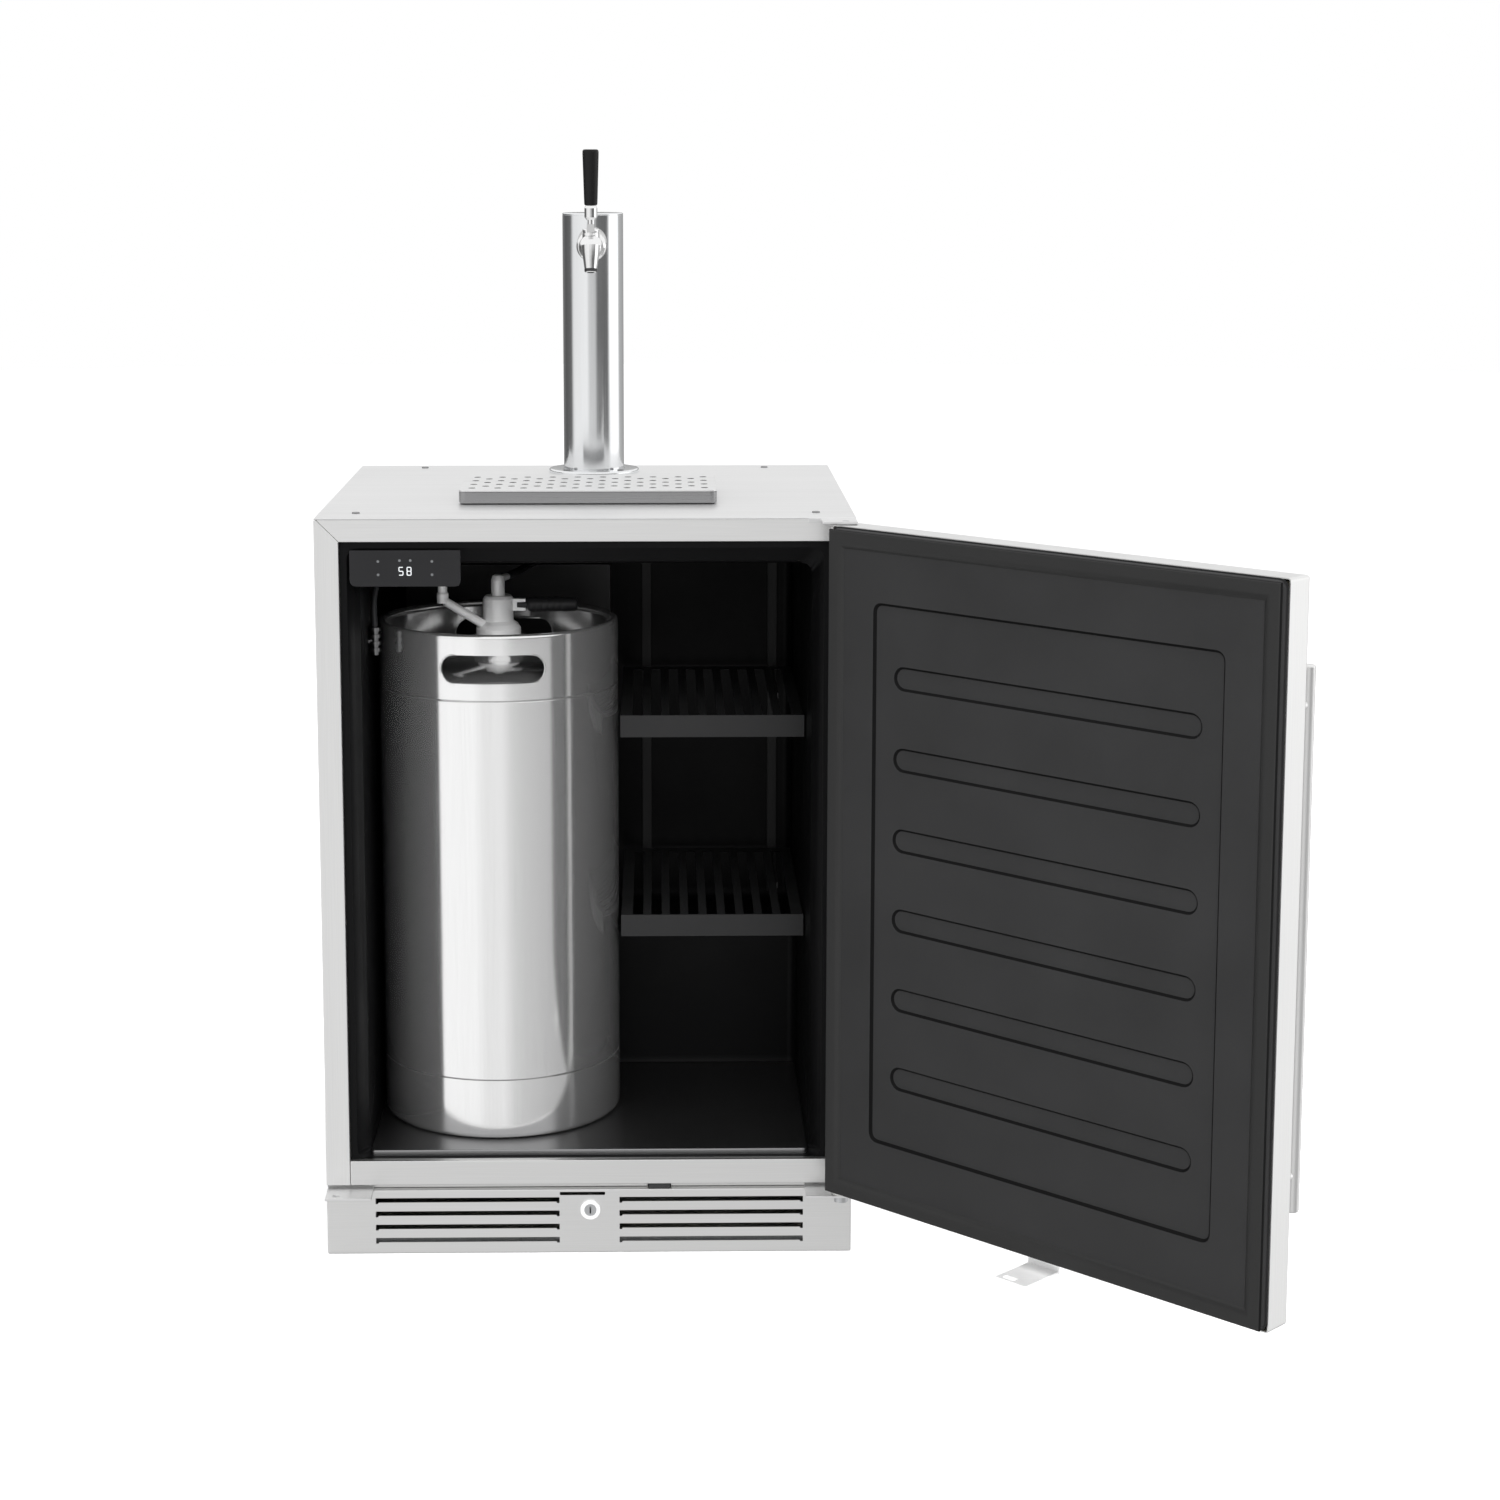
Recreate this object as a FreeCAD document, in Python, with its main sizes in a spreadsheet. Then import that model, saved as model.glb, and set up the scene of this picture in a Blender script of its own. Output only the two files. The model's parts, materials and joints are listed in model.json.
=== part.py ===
"""Undercounter kegerator with one tap tower, a hinged door shown open, a keg and two shelves.

Frame: millimetres, +Z up, the front faces -Y, and the origin is the middle of the cabinet's
footprint on the floor. The driving dimensions are in the spreadsheet `dims`.
"""

import FreeCAD, Part
import Sketcher
import math
import os
import re

DIMENSIONS = {
    # cabinet
    "cabinet_width": 603,
    "cabinet_depth": 553,
    "cabinet_height": 854,
    "sheet_gauge": 1.2,
    "top_gauge": 1.5,
    "base_gauge": 2,
    "base_flange": 20,
    "frame_depth": 10,
    "stile_width": 27.1,
    "top_rail_low": 827.5,
    "bottom_rail_low": 82,
    "bottom_rail_high": 111,
    # kick plate and lock
    "kick_height": 76,
    "slit_height": 5.5,
    "slit_low": 13.4,
    "slit_pitch": 15.9,
    "slit_near": 34.5,
    "slit_far": 246,
    "lock_offset": 1,
    "lock_height": 52,
    "lock_radius": 9.5,
    "plug_radius": 7,
    "cam_reach": 29,
    "strike_low": 69.5,
    "strike_left": -26,
    "strike_right": 15,
    # insulated cavity
    "cavity_half": 254,
    "cavity_floor": 110,
    "cavity_ceiling": 800,
    "cavity_back": 225,
    "step_front": 73.5,
    "step_top": 290,
    "liner_gauge": 2,
    "flange_back": 266.5,
    "insulation_floor": 82,
    "seam_gap": 0.2,
    "floor_plate_top": 117,
    "floor_plate_half": 252,
    # door, in its closed place
    "door_width": 590,
    "door_low": 84,
    "door_high": 850,
    "door_gap": 0.7,
    "pan_depth": 34.6,
    "panel_depth": 7.4,
    "gasket_depth": 3.8,
    "gasket_width": 20,
    "panel_margin": 3,
    "panel_relief": 3,
    "groove_relief": 2.5,
    "hinge_across": 288,
    "hinge_ahead": 26,
    "pin_radius": 4,
    "bush_radius": 5.7,
    "running_clearance": 0.05,
    "door_open_angle": 135,
    "handle_low": 185,
    "handle_high": 753,
    "handle_inset": 26,
    "handle_reach": 50,
    "handle_radius": 7.5,
    # tower and tap
    "tower_back": 202.5,
    "tower_radius": 38.1,
    "tower_wall": 1.5,
    "tower_top": 1178,
    "tower_flange_radius": 57,
    "tower_flange_height": 5,
    "line_hole_radius": 18,
    "tap_height": 1146,
    "tap_pivot_height": 1160,
    "tap_pivot_back": 100,
    "handle_top": 1259,
    # drip tray
    "tray_half": 149,
    "tray_front": -149.5,
    "tray_back": 13.5,
    "tray_depth": 14,
    "rest_gap": 0.3,
    "grid_thick": 2,
    "grid_hole_radius": 4,
    "grid_pitch": 30,
    "grid_row": 38,
    # keg and coupler
    "keg_across": -108.3,
    "keg_back": -80.5,
    "keg_radius": 141.3,
    "keg_top": 713,
    "keg_wall": 2,
    "seam_high": 636,
    "seam_low": 189,
    "hand_slot_width": 122,
    "hand_slot_height": 35,
    "hand_slot_level": 673,
    "coupler_base": 690.5,
    "coupler_pivot": -82,
    "coupler_level": 727,
    "beer_line_width": 9,
    "gas_line_width": 7,
    # shelves
    "shelf_left": 36,
    "shelf_front": -137.5,
    "shelf_back": 218,
    "shelf_fascia": 26,
    "shelf_upper_top": 604,
    "shelf_lower_top": 364,
    # machinery
    "compartment_front": 118,
    "compressor_radius": 66,
    "fan_radius": 70,
    "fan_level": 112,
    "fan_across": 120,
    "cover_left": -240,
    "cover_right": 20,
    "cover_low": 480,
    "cover_high": 736,
    "evaporator_fan_radius": 48,
    "gas_inlet_across": -270,
    "gas_inlet_back": -160,
    "gas_inlet_level": 697,
    "gas_tail_radius": 4,
    "gas_tail_length": 24,
    "inlet_low": 50,
    "inlet_high": 80,
}

FRONT = "(-cabinet_depth / 2)"
BACK = "(cabinet_depth / 2)"
SIDE = "(cabinet_width / 2)"
FRAME_BACK = f"({FRONT} + frame_depth)"
TOP_UNDER = "(cabinet_height - top_gauge)"
DOOR_REAR = f"({FRONT} - door_gap)"
PANEL_REAR = f"({DOOR_REAR} - gasket_depth)"
PAN_REAR = f"({PANEL_REAR} - panel_depth)"
DOOR_FACE = f"({PAN_REAR} - pan_depth)"
HINGE_Y = f"({FRONT} - hinge_ahead)"
KEG_FLOOR = "floor_plate_top"

doc = FreeCAD.newDocument("kegerator")
dims = doc.addObject("Spreadsheet::Sheet", "dims")
for sheet_row, (alias, number) in enumerate(DIMENSIONS.items(), start=1):
    dims.set(f"A{sheet_row}", alias)
    dims.set(f"B{sheet_row}", str(number))
    dims.setAlias(f"B{sheet_row}", alias)
doc.recompute()

nodes = {}


def bound(text):
    """An expression in which every alias carries the sheet's name."""
    return re.sub(r"[a-z_]*[a-z]", lambda w: f"dims.{w[0]}" if w[0] in DIMENSIONS else w[0], str(text))


def put(shape, at):
    """Binds a shape's place to the sheet."""
    for axis, text in zip("xyz", at):
        shape.setExpression(f"Placement.Base.{axis}", bound(text))
    return shape


def keep(name, shape):
    """Registers a finished sub-part under its node name."""
    shape.Label = name
    nodes[name] = shape
    return shape


# ---------------------------------------------------------------- primitives


def box(x_span, y_span, z_span):
    """A block between two expressions along each axis."""
    block = doc.addObject("Part::Box", "block")
    for prop, (low, high) in zip(("Length", "Width", "Height"), (x_span, y_span, z_span)):
        block.setExpression(prop, bound(f"({high}) - ({low})"))
    return put(block, (x_span[0], y_span[0], z_span[0]))


def rod(radius, at, length, along=(0, 0, 1)):
    """A round bar from a point, along a direction."""
    bar = doc.addObject("Part::Cylinder", "rod")
    bar.setExpression("Radius", bound(radius))
    bar.setExpression("Height", bound(length))
    bar.Placement = FreeCAD.Placement(
        FreeCAD.Vector(), FreeCAD.Rotation(FreeCAD.Vector(0, 0, 1), FreeCAD.Vector(*along))
    )
    return put(bar, at)


def cone(low_radius, high_radius, at, length, along=(0, 0, 1)):
    """A tapered bar from a point, along a direction."""
    taper = doc.addObject("Part::Cone", "taper")
    taper.setExpression("Radius1", bound(low_radius))
    taper.setExpression("Radius2", bound(high_radius))
    taper.setExpression("Height", bound(length))
    taper.Placement = FreeCAD.Placement(
        FreeCAD.Vector(), FreeCAD.Rotation(FreeCAD.Vector(0, 0, 1), FreeCAD.Vector(*along))
    )
    return put(taper, at)


def ball(radius, at):
    """A sphere."""
    sphere = doc.addObject("Part::Sphere", "ball")
    sphere.setExpression("Radius", bound(radius))
    return put(sphere, at)


def fuse(*shapes):
    """One solid of several that touch."""
    joined = doc.addObject("Part::MultiFuse", "joined")
    joined.Shapes = list(shapes)
    return joined


def cut(base, *tools):
    """A solid with others taken away."""
    result = doc.addObject("Part::Cut", "cut")
    result.Base = base
    result.Tool = tools[0] if len(tools) == 1 else fuse(*tools)
    return result


def group(*shapes):
    """Identical pieces that share a node, still separate solids."""
    gathered = doc.addObject("Part::Compound", "group")
    gathered.Links = list(shapes)
    return gathered


def rounded(base, radius, wanted):
    """Rounds the edges of a solid that a test picks out."""
    doc.recompute()
    result = doc.addObject("Part::Fillet", "rounded")
    result.Base = base
    edges = enumerate(base.Shape.Edges, start=1)
    result.Edges = [(number, radius, radius) for number, edge in edges if wanted(edge)]
    return result


def upright(edge):
    """True for a straight vertical edge."""
    ends = edge.Vertexes
    if len(ends) != 2:
        return False
    run = ends[1].Point - ends[0].Point
    return abs(run.z) > 1 and abs(run.x) + abs(run.y) < 1e-6


def through(edge):
    """True for a straight edge that runs front to back."""
    ends = edge.Vertexes
    if len(ends) != 2:
        return False
    run = ends[1].Point - ends[0].Point
    return abs(run.y) > 0.5 and abs(run.x) + abs(run.z) < 1e-6


# ---------------------------------------------------------------- sketched bodies


def sketch_on(body, role, name):
    """A sketch on one of the body's own planes."""
    sketch = body.newObject("Sketcher::SketchObject", name)
    plane = next(f for f in body.Origin.OriginFeatures if f.Role == role)
    sketch.AttachmentSupport = [(plane, "")]
    sketch.MapMode = "FlatFace"
    return sketch


def outline(sketch, points):
    """A closed outline whose corners are bound to the sheet."""
    first = sketch.GeometryCount
    count = len(points)
    for i in range(count):
        start = FreeCAD.Vector(i, i * i, 0)
        end = FreeCAD.Vector(i + 1, (i + 1) ** 2, 0)
        sketch.addGeometry(Part.LineSegment(start, end), False)
    for i in range(count):
        sketch.addConstraint(
            Sketcher.Constraint("Coincident", first + i, 2, first + (i + 1) % count, 1)
        )
    for i, corner in enumerate(points):
        for kind, text in zip(("DistanceX", "DistanceY"), corner):
            held = sketch.addConstraint(Sketcher.Constraint(kind, -1, 1, first + i, 1, i + 1.0))
            sketch.setExpression(f"Constraints[{held}]", bound(text))


def ring(sketch, centre, radius):
    """A circle whose centre and radius are bound to the sheet."""
    geometry = sketch.addGeometry(
        Part.Circle(FreeCAD.Vector(1, 1, 0), FreeCAD.Vector(0, 0, 1), 1), False
    )
    for kind, text in zip(("DistanceX", "DistanceY"), centre):
        held = sketch.addConstraint(Sketcher.Constraint(kind, -1, 1, geometry, 3, 1.0))
        sketch.setExpression(f"Constraints[{held}]", bound(text))
    held = sketch.addConstraint(Sketcher.Constraint("Radius", geometry, 1.0))
    sketch.setExpression(f"Constraints[{held}]", bound(radius))


def rectangle(low_x, high_x, low_y, high_y):
    """The corners of a rectangle."""
    return [(low_x, low_y), (high_x, low_y), (high_x, high_y), (low_x, high_y)]


def padded(name, role, points, depth, at=("0", "0", "0")):
    """A body with one outline padded along its plane's normal."""
    body = doc.addObject("PartDesign::Body", name)
    sketch = sketch_on(body, role, f"{name}_outline")
    outline(sketch, points)
    pad = body.newObject("PartDesign::Pad", f"{name}_pad")
    pad.Profile = sketch
    pad.setExpression("Length", bound(depth))
    return put(body, at)


def hollowed(body, role, points, depth):
    """Cuts an outline into a padded body, leaving the rest of its depth."""
    sketch = sketch_on(body, role, f"{body.Name}_hollow")
    outline(sketch, points)
    pocket = body.newObject("PartDesign::Pocket", f"{body.Name}_hollowed")
    pocket.Profile = sketch
    pocket.Reversed = True
    pocket.setExpression("Length", bound(depth))
    return pocket


def pierced(body, role, draw):
    """Cuts whatever draw(sketch) draws right through a body."""
    sketch = sketch_on(body, role, f"{body.Name}_holes")
    draw(sketch)
    pocket = body.newObject("PartDesign::Pocket", f"{body.Name}_pierced")
    pocket.Profile = sketch
    pocket.Type = "ThroughAll"
    pocket.Midplane = True
    return pocket


def repeated(body, feature, runs):
    """Repeats a feature along the sketch axes named in runs: (axis, pitch, count)."""
    multi = body.newObject("PartDesign::MultiTransform", f"{body.Name}_rows")
    multi.Originals = [feature]
    steps = []
    for axis, pitch, count in runs:
        step = body.newObject("PartDesign::LinearPattern", f"{body.Name}_row")
        step.Direction = (feature.Profile[0], [axis])
        step.setExpression("Length", bound(f"({pitch}) * {count - 1}"))
        step.Occurrences = count
        steps.append(step)
    multi.Transformations = steps
    body.Tip = multi
    return multi


def turned(name, points, at=("0", "0", "0"), along=(0, 0, 1)):
    """A body turned about its own upright axis from half a profile of (radius, height) corners."""
    body = doc.addObject("PartDesign::Body", name)
    sketch = sketch_on(body, "XZ_Plane", f"{name}_profile")
    outline(sketch, points)
    spin = body.newObject("PartDesign::Revolution", f"{name}_turned")
    spin.Profile = sketch
    spin.ReferenceAxis = (sketch, ["V_Axis"])
    spin.Angle = 360
    body.Placement = FreeCAD.Placement(
        FreeCAD.Vector(), FreeCAD.Rotation(FreeCAD.Vector(0, 0, 1), FreeCAD.Vector(*along))
    )
    return put(body, at)


# ---------------------------------------------------------------- cabinet


def make_frame():
    """The four folded members round the door opening, mitred at the top corners."""
    edge = "(stile_width)"
    inner = f"({SIDE} - {edge})"
    tip = f"({inner} + {TOP_UNDER} - top_rail_low)"
    deep = "frame_depth - sheet_gauge"
    for side, sign in (("left", "-"), ("right", "")):
        points = [
            (f"{sign}{SIDE}", "bottom_rail_low"),
            (f"{sign}{inner}", "bottom_rail_low"),
            (f"{sign}{inner}", "top_rail_low"),
            (f"{sign}{tip}", TOP_UNDER),
            (f"{sign}{SIDE}", TOP_UNDER),
        ]
        stile = padded(f"stile_{side}", "XZ_Plane", points, "frame_depth", ("0", FRAME_BACK, "0"))
        inside = rectangle(
            f"{sign}({SIDE} - sheet_gauge)",
            f"{sign}({inner} + sheet_gauge)",
            "bottom_rail_low + sheet_gauge",
            "top_rail_low - sheet_gauge",
        )
        hollowed(stile, "XZ_Plane", inside, deep)
        keep(f"frame_stile_{side}", stile)
    points = [
        (f"-{inner}", "top_rail_low"),
        (inner, "top_rail_low"),
        (tip, TOP_UNDER),
        (f"-{tip}", TOP_UNDER),
    ]
    rail = padded("rail_top", "XZ_Plane", points, "frame_depth", ("0", FRAME_BACK, "0"))
    inside = rectangle(
        f"-({inner} - sheet_gauge)",
        f"{inner} - sheet_gauge",
        "top_rail_low + sheet_gauge",
        f"{TOP_UNDER} - sheet_gauge",
    )
    hollowed(rail, "XZ_Plane", inside, deep)
    keep("frame_top_rail", rail)
    points = rectangle(f"-{inner}", inner, "bottom_rail_low", "bottom_rail_high")
    rail = padded("rail_bottom", "XZ_Plane", points, "frame_depth", ("0", FRAME_BACK, "0"))
    inside = rectangle(
        f"-({inner} - sheet_gauge)",
        f"{inner} - sheet_gauge",
        "bottom_rail_low + sheet_gauge",
        "bottom_rail_high - sheet_gauge",
    )
    hollowed(rail, "XZ_Plane", inside, deep)
    keep("frame_bottom_rail", rail)


def make_kick_plate():
    """The folded plinth front: eight louvre slits, the lock's hole and the strike's slot."""
    points = rectangle(f"-{SIDE}", SIDE, "0", "kick_height")
    plate = padded("kick", "XZ_Plane", points, "frame_depth", ("0", FRAME_BACK, "0"))
    inside = rectangle(
        f"-({SIDE} - sheet_gauge)", f"{SIDE} - sheet_gauge", "sheet_gauge", "kick_height - sheet_gauge"
    )
    hollowed(plate, "XZ_Plane", inside, "frame_depth - sheet_gauge")
    holes = sketch_on(plate, "XZ_Plane", "kick_openings")
    ring(holes, ("lock_offset", "lock_height"), "lock_radius + running_clearance")
    outline(
        holes,
        rectangle("strike_left - 8", "strike_right + 3", "strike_low - 1", "strike_low + 4.2"),
    )
    openings = plate.newObject("PartDesign::Pocket", "kick_opened")
    openings.Profile = holes
    openings.Type = "ThroughAll"
    openings.Midplane = True
    slit = pierced(
        plate,
        "XZ_Plane",
        lambda sketch: outline(
            sketch,
            rectangle("-slit_far", "-slit_near", "slit_low", "slit_low + slit_height"),
        ),
    )
    repeated(plate, slit, (("V_Axis", "slit_pitch", 4), ("H_Axis", "slit_far + slit_near", 2)))
    keep("kick_plate", plate)


def make_casing():
    """Base pan, sides, back and top, all bent sheet."""
    half = f"({SIDE} - sheet_gauge - seam_gap)"
    front = f"({FRAME_BACK} + seam_gap)"
    rear = f"({BACK} - sheet_gauge - seam_gap)"
    pan = cut(
        box((f"-{half}", half), (front, rear), ("0", "base_flange")),
        box(
            (f"-({half} - base_gauge)", f"{half} - base_gauge"),
            (f"{front} + base_gauge", f"{rear} - base_gauge"),
            ("base_gauge", "base_flange + 1"),
        ),
        *[rod("20", (x, y, "-1"), "base_gauge + 2") for x in ("-262", "262") for y in ("-235", "235")],
    )
    keep("base_pan", pan)
    for side, low, high in (
        ("left", f"-{SIDE}", f"-({SIDE} - sheet_gauge)"),
        ("right", f"{SIDE} - sheet_gauge", SIDE),
    ):
        points = rectangle(low, high, f"{FRAME_BACK}", BACK)
        keep(f"side_panel_{side}", padded(f"side_{side}", "XY_Plane", points, TOP_UNDER))
    points = rectangle(f"-({SIDE} - sheet_gauge)", f"{SIDE} - sheet_gauge", "0", TOP_UNDER)
    back = padded("back", "XZ_Plane", points, "sheet_gauge", ("0", BACK, "0"))
    holes = sketch_on(back, "XZ_Plane", "back_openings")
    ring(holes, ("gas_inlet_across", "gas_inlet_level"), "gas_tail_radius + seam_gap")
    outline(holes, rectangle("-236", "-186", "inlet_low", "inlet_high"))
    opened = back.newObject("PartDesign::Pocket", "back_opened")
    opened.Profile = holes
    opened.Type = "ThroughAll"
    opened.Midplane = True
    slit = pierced(
        back,
        "XZ_Plane",
        lambda sketch: outline(
            sketch,
            rectangle("fan_across - fan_radius", "fan_across + fan_radius", "50", "54"),
        ),
    )
    repeated(back, slit, (("V_Axis", "14", 10),))
    keep("back_panel", back)
    points = rectangle(f"-{SIDE}", SIDE, FRONT, BACK)
    top = padded("top", "XY_Plane", points, "top_gauge", ("0", "0", TOP_UNDER))

    def holes_in_top(sketch):
        ring(sketch, ("0", "tower_back"), "line_hole_radius")
        for x, y in TOP_SCREWS + TOWER_SCREWS:
            ring(sketch, (x, y), "2.1")

    pierced(top, "XY_Plane", holes_in_top)
    keep("top_panel", top)


TOP_SCREWS = [
    (f"{sign}{across}", f"{FRONT} + {back}")
    for across, back in (("259", "47"), ("218", "524"))
    for sign in ("-", "")
]
TOWER_SCREWS = [
    (f"{across}", f"tower_back + {back}")
    for across, back in (("34", "34"), ("-34", "34"), ("34", "-34"), ("-34", "-34"))
]


def make_screws():
    """Pan-head screws of the top panel and the tower flange."""
    profile = [
        ("0", "-top_gauge"),
        ("2", "-top_gauge"),
        ("2", "0"),
        ("4.5", "0"),
        ("4.2", "1.4"),
        ("0", "1.8"),
    ]
    screws = [
        turned("top_screw", profile, (x, y, "cabinet_height + 0.02")) for x, y in TOP_SCREWS
    ]
    long_profile = [
        ("0", "-top_gauge - tower_flange_height"),
        ("2", "-top_gauge - tower_flange_height"),
        ("2", "0"),
        ("4", "0"),
        ("3.8", "1.4"),
        ("0", "1.8"),
    ]
    seat = "cabinet_height + tower_flange_height + 0.07"
    screws += [turned("tower_screw", long_profile, (x, y, seat)) for x, y in TOWER_SCREWS]
    keep("panel_screws", group(*screws))


def make_cavity():
    """The moulded liner with its front flange, and the foam slabs behind it."""
    lid = "seam_gap"
    outer = fuse(
        box(
            ("-cavity_half - liner_gauge", "cavity_half + liner_gauge"),
            ("-flange_back", "step_front + liner_gauge"),
            ("cavity_floor - liner_gauge", "cavity_ceiling + liner_gauge"),
        ),
        box(
            ("-cavity_half - liner_gauge", "cavity_half + liner_gauge"),
            ("-flange_back", "cavity_back + liner_gauge"),
            ("step_top - liner_gauge", "cavity_ceiling + liner_gauge"),
        ),
        box(
            (f"-({SIDE} - stile_width - {lid})", f"{SIDE} - stile_width - {lid}"),
            ("-flange_back - liner_gauge", "-flange_back"),
            (f"bottom_rail_high + {lid}", f"top_rail_low - {lid}"),
        ),
    )
    space = fuse(
        box(
            ("-cavity_half", "cavity_half"),
            ("-flange_back - 20", "step_front"),
            ("cavity_floor", "cavity_ceiling"),
        ),
        box(
            ("-cavity_half", "cavity_half"),
            ("-flange_back - 20", "cavity_back"),
            ("step_top", "cavity_ceiling"),
        ),
    )
    line_hole = rod("line_hole_radius", ("0", "tower_back", "cavity_ceiling - 1"), "80")
    gas_hole = rod("4.4", ("-cavity_half - 5", "gas_inlet_back", "gas_inlet_level"), "10", (1, 0, 0))
    keep("inner_liner", cut(outer, space, line_hole, gas_hole))

    wide = f"({SIDE} - sheet_gauge - 2 * seam_gap)"
    narrow = "(cavity_half + liner_gauge + seam_gap)"
    front = "(-flange_back + seam_gap)"
    rear = f"({BACK} - sheet_gauge - seam_gap)"
    under = "(cavity_ceiling + liner_gauge + seam_gap)"
    riser = "(step_front + liner_gauge + seam_gap)"
    tread = "(step_top - liner_gauge - seam_gap)"
    left = cut(
        box((f"-{wide}", f"-{narrow}"), (front, rear), ("insulation_floor", "cavity_ceiling")),
        rod("4.2", ("gas_inlet_across", "gas_inlet_back - 6", "gas_inlet_level"), "470", (0, 1, 0)),
        rod("4.2", ("gas_inlet_across", "gas_inlet_back", "gas_inlet_level"), "30", (1, 0, 0)),
    )
    right = box((narrow, wide), (front, rear), ("insulation_floor", "cavity_ceiling"))
    top = cut(
        box((f"-{wide}", wide), (front, rear), (under, f"{TOP_UNDER} - seam_gap")),
        rod("line_hole_radius", ("0", "tower_back", "cavity_ceiling"), "80"),
        *[rod("2.4", (x, y, f"{TOP_UNDER} - 4"), "8") for x, y in TOP_SCREWS],
    )
    bottom = box(
        (f"-{narrow} + seam_gap", f"{narrow} - seam_gap"),
        (front, riser),
        ("insulation_floor", "cavity_floor - liner_gauge - seam_gap"),
    )
    rear_slab = box(
        (f"-{narrow} + seam_gap", f"{narrow} - seam_gap"),
        ("cavity_back + liner_gauge + seam_gap", rear),
        ("step_top", "cavity_ceiling"),
    )
    tread_slab = box(
        (f"-{narrow} + seam_gap", f"{narrow} - seam_gap"),
        (riser, rear),
        (f"{tread} - 38", tread),
    )
    riser_slab = box(
        (f"-{narrow} + seam_gap", f"{narrow} - seam_gap"),
        (f"{riser} + seam_gap", f"compartment_front - seam_gap"),
        ("insulation_floor", f"{tread} - 38 - seam_gap"),
    )
    slabs = group(left, right, top, bottom, rear_slab, tread_slab, riser_slab)
    keep("wall_insulation", slabs)

    plate = cut(
        box(
            ("-floor_plate_half", "floor_plate_half"),
            (f"{FRONT} + 20", "step_front - 1"),
            ("cavity_floor + seam_gap", "floor_plate_top"),
        ),
        box(
            ("-floor_plate_half + top_gauge", "floor_plate_half - top_gauge"),
            (f"{FRONT} + 20 + top_gauge", "step_front - 1 - top_gauge"),
            ("cavity_floor - 1", "floor_plate_top - top_gauge"),
        ),
    )
    keep("floor_plate", plate)


def make_fittings():
    """Control panel, cavity light, door switch and the feet."""
    panel = box(("-263", "-139"), (f"{FRONT} + 2.5", "-flange_back - 2.2"), ("777", "818"))
    keep("control_panel", rounded(panel, 8, lambda e: through(e) and e.Vertexes[0].Z < 780))
    profile = [("0", "-8"), ("17", "-8"), ("24.5", "-3"), ("24.5", "-0.2"), ("0", "-0.2")]
    keep("ceiling_light", turned("light", profile, ("-26", f"{FRONT} + 125", "cavity_ceiling")))
    switch = box(("68", "93"), (f"{FRONT} + 0.5", f"{FRAME_BACK} + 8"), ("kick_height + seam_gap", "81.6"))
    keep("door_switch", switch)
    foot = [
        ("0", "0"),
        ("18", "0"),
        ("18", "6"),
        ("5", "8"),
        ("5", "34"),
        ("0", "34"),
    ]
    feet = [turned("foot", foot, (x, y, "0")) for x in ("-262", "262") for y in ("-235", "235")]
    keep("levelling_feet", group(*feet))


# ---------------------------------------------------------------- hinges and lock


def make_hinges():
    """Brackets on both lower corners, the upper plate and the two pins."""
    brackets = []
    for sign in ("-", ""):
        near, far = f"{sign}(247.5)", f"{sign}({SIDE} - sheet_gauge - 2 * seam_gap)"
        spans = (near, far) if sign == "" else (far, near)
        plate = box(spans, (f"{HINGE_Y} - 9", "-250"), ("kick_height + seam_gap", "kick_height + 3.2"))
        leg = box(spans, ("-253", "-250"), ("base_flange + 1", "kick_height + 3.2"))
        hole = rod("pin_radius", (f"{sign}hinge_across", HINGE_Y, "kick_height - 5"), "12")
        brackets.append(cut(fuse(plate, leg), hole))
    keep("lower_hinge_brackets", group(*brackets))
    plate = fuse(
        box(
            ("262", f"{SIDE} - 0.5"),
            (f"{HINGE_Y} - 9", f"{FRONT} - 0.05"),
            ("door_high + 0.6", "door_high + 3.6"),
        ),
        box(
            ("248", f"{SIDE} - 0.5"),
            (f"{FRONT} - 2.5", f"{FRONT} - 0.05"),
            ("door_high - 1.5", "door_high + 3.6"),
        ),
    )
    hole = rod("pin_radius", ("hinge_across", HINGE_Y, "door_high - 2"), "10")
    keep("upper_hinge_plate", cut(plate, hole))
    at = ("hinge_across", HINGE_Y, "kick_height + seam_gap")
    low_pin = turned(
        "low_pin",
        [("0", "-6"), ("8", "-6"), ("8", "0"), ("pin_radius", "0"), ("pin_radius", "20"), ("0", "20")],
        at,
    )
    high_pin = rod("pin_radius", ("hinge_across", HINGE_Y, "door_high - 12"), "15.6")
    keep("hinge_pins", group(low_pin, high_pin))


def make_lock():
    """The barrel lock of the kick plate: fixed housing, turning plug with its cam."""
    at = ("lock_offset", FRONT, "lock_height")
    housing = cut(
        fuse(
            rod("11.25", ("lock_offset", f"{FRONT} - 2.5", "lock_height"), "2.45", (0, 1, 0)),
            rod("lock_radius", at, "26", (0, 1, 0)),
        ),
        rod(
            "plug_radius + running_clearance",
            ("lock_offset", f"{FRONT} - 5", "lock_height"),
            "40",
            (0, 1, 0),
        ),
    )
    keep("lock_housing", housing)
    cam_y = f"({FRONT} + 27)"
    plug = cut(
        fuse(
            rod("plug_radius", ("lock_offset", f"{FRONT} - 3", "lock_height"), "30.5", (0, 1, 0)),
            box(
                ("lock_offset", "lock_offset + cam_reach"),
                (cam_y, f"{cam_y} + 2.5"),
                ("lock_height - 5", "lock_height + 5"),
            ),
        ),
        box(
            ("lock_offset - 0.9", "lock_offset + 0.9"),
            (f"{FRONT} - 4", f"{FRONT} + 10"),
            ("lock_height - 4", "lock_height + 4"),
        ),
    )
    keep("lock_plug", plug)


# ---------------------------------------------------------------- door


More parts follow.
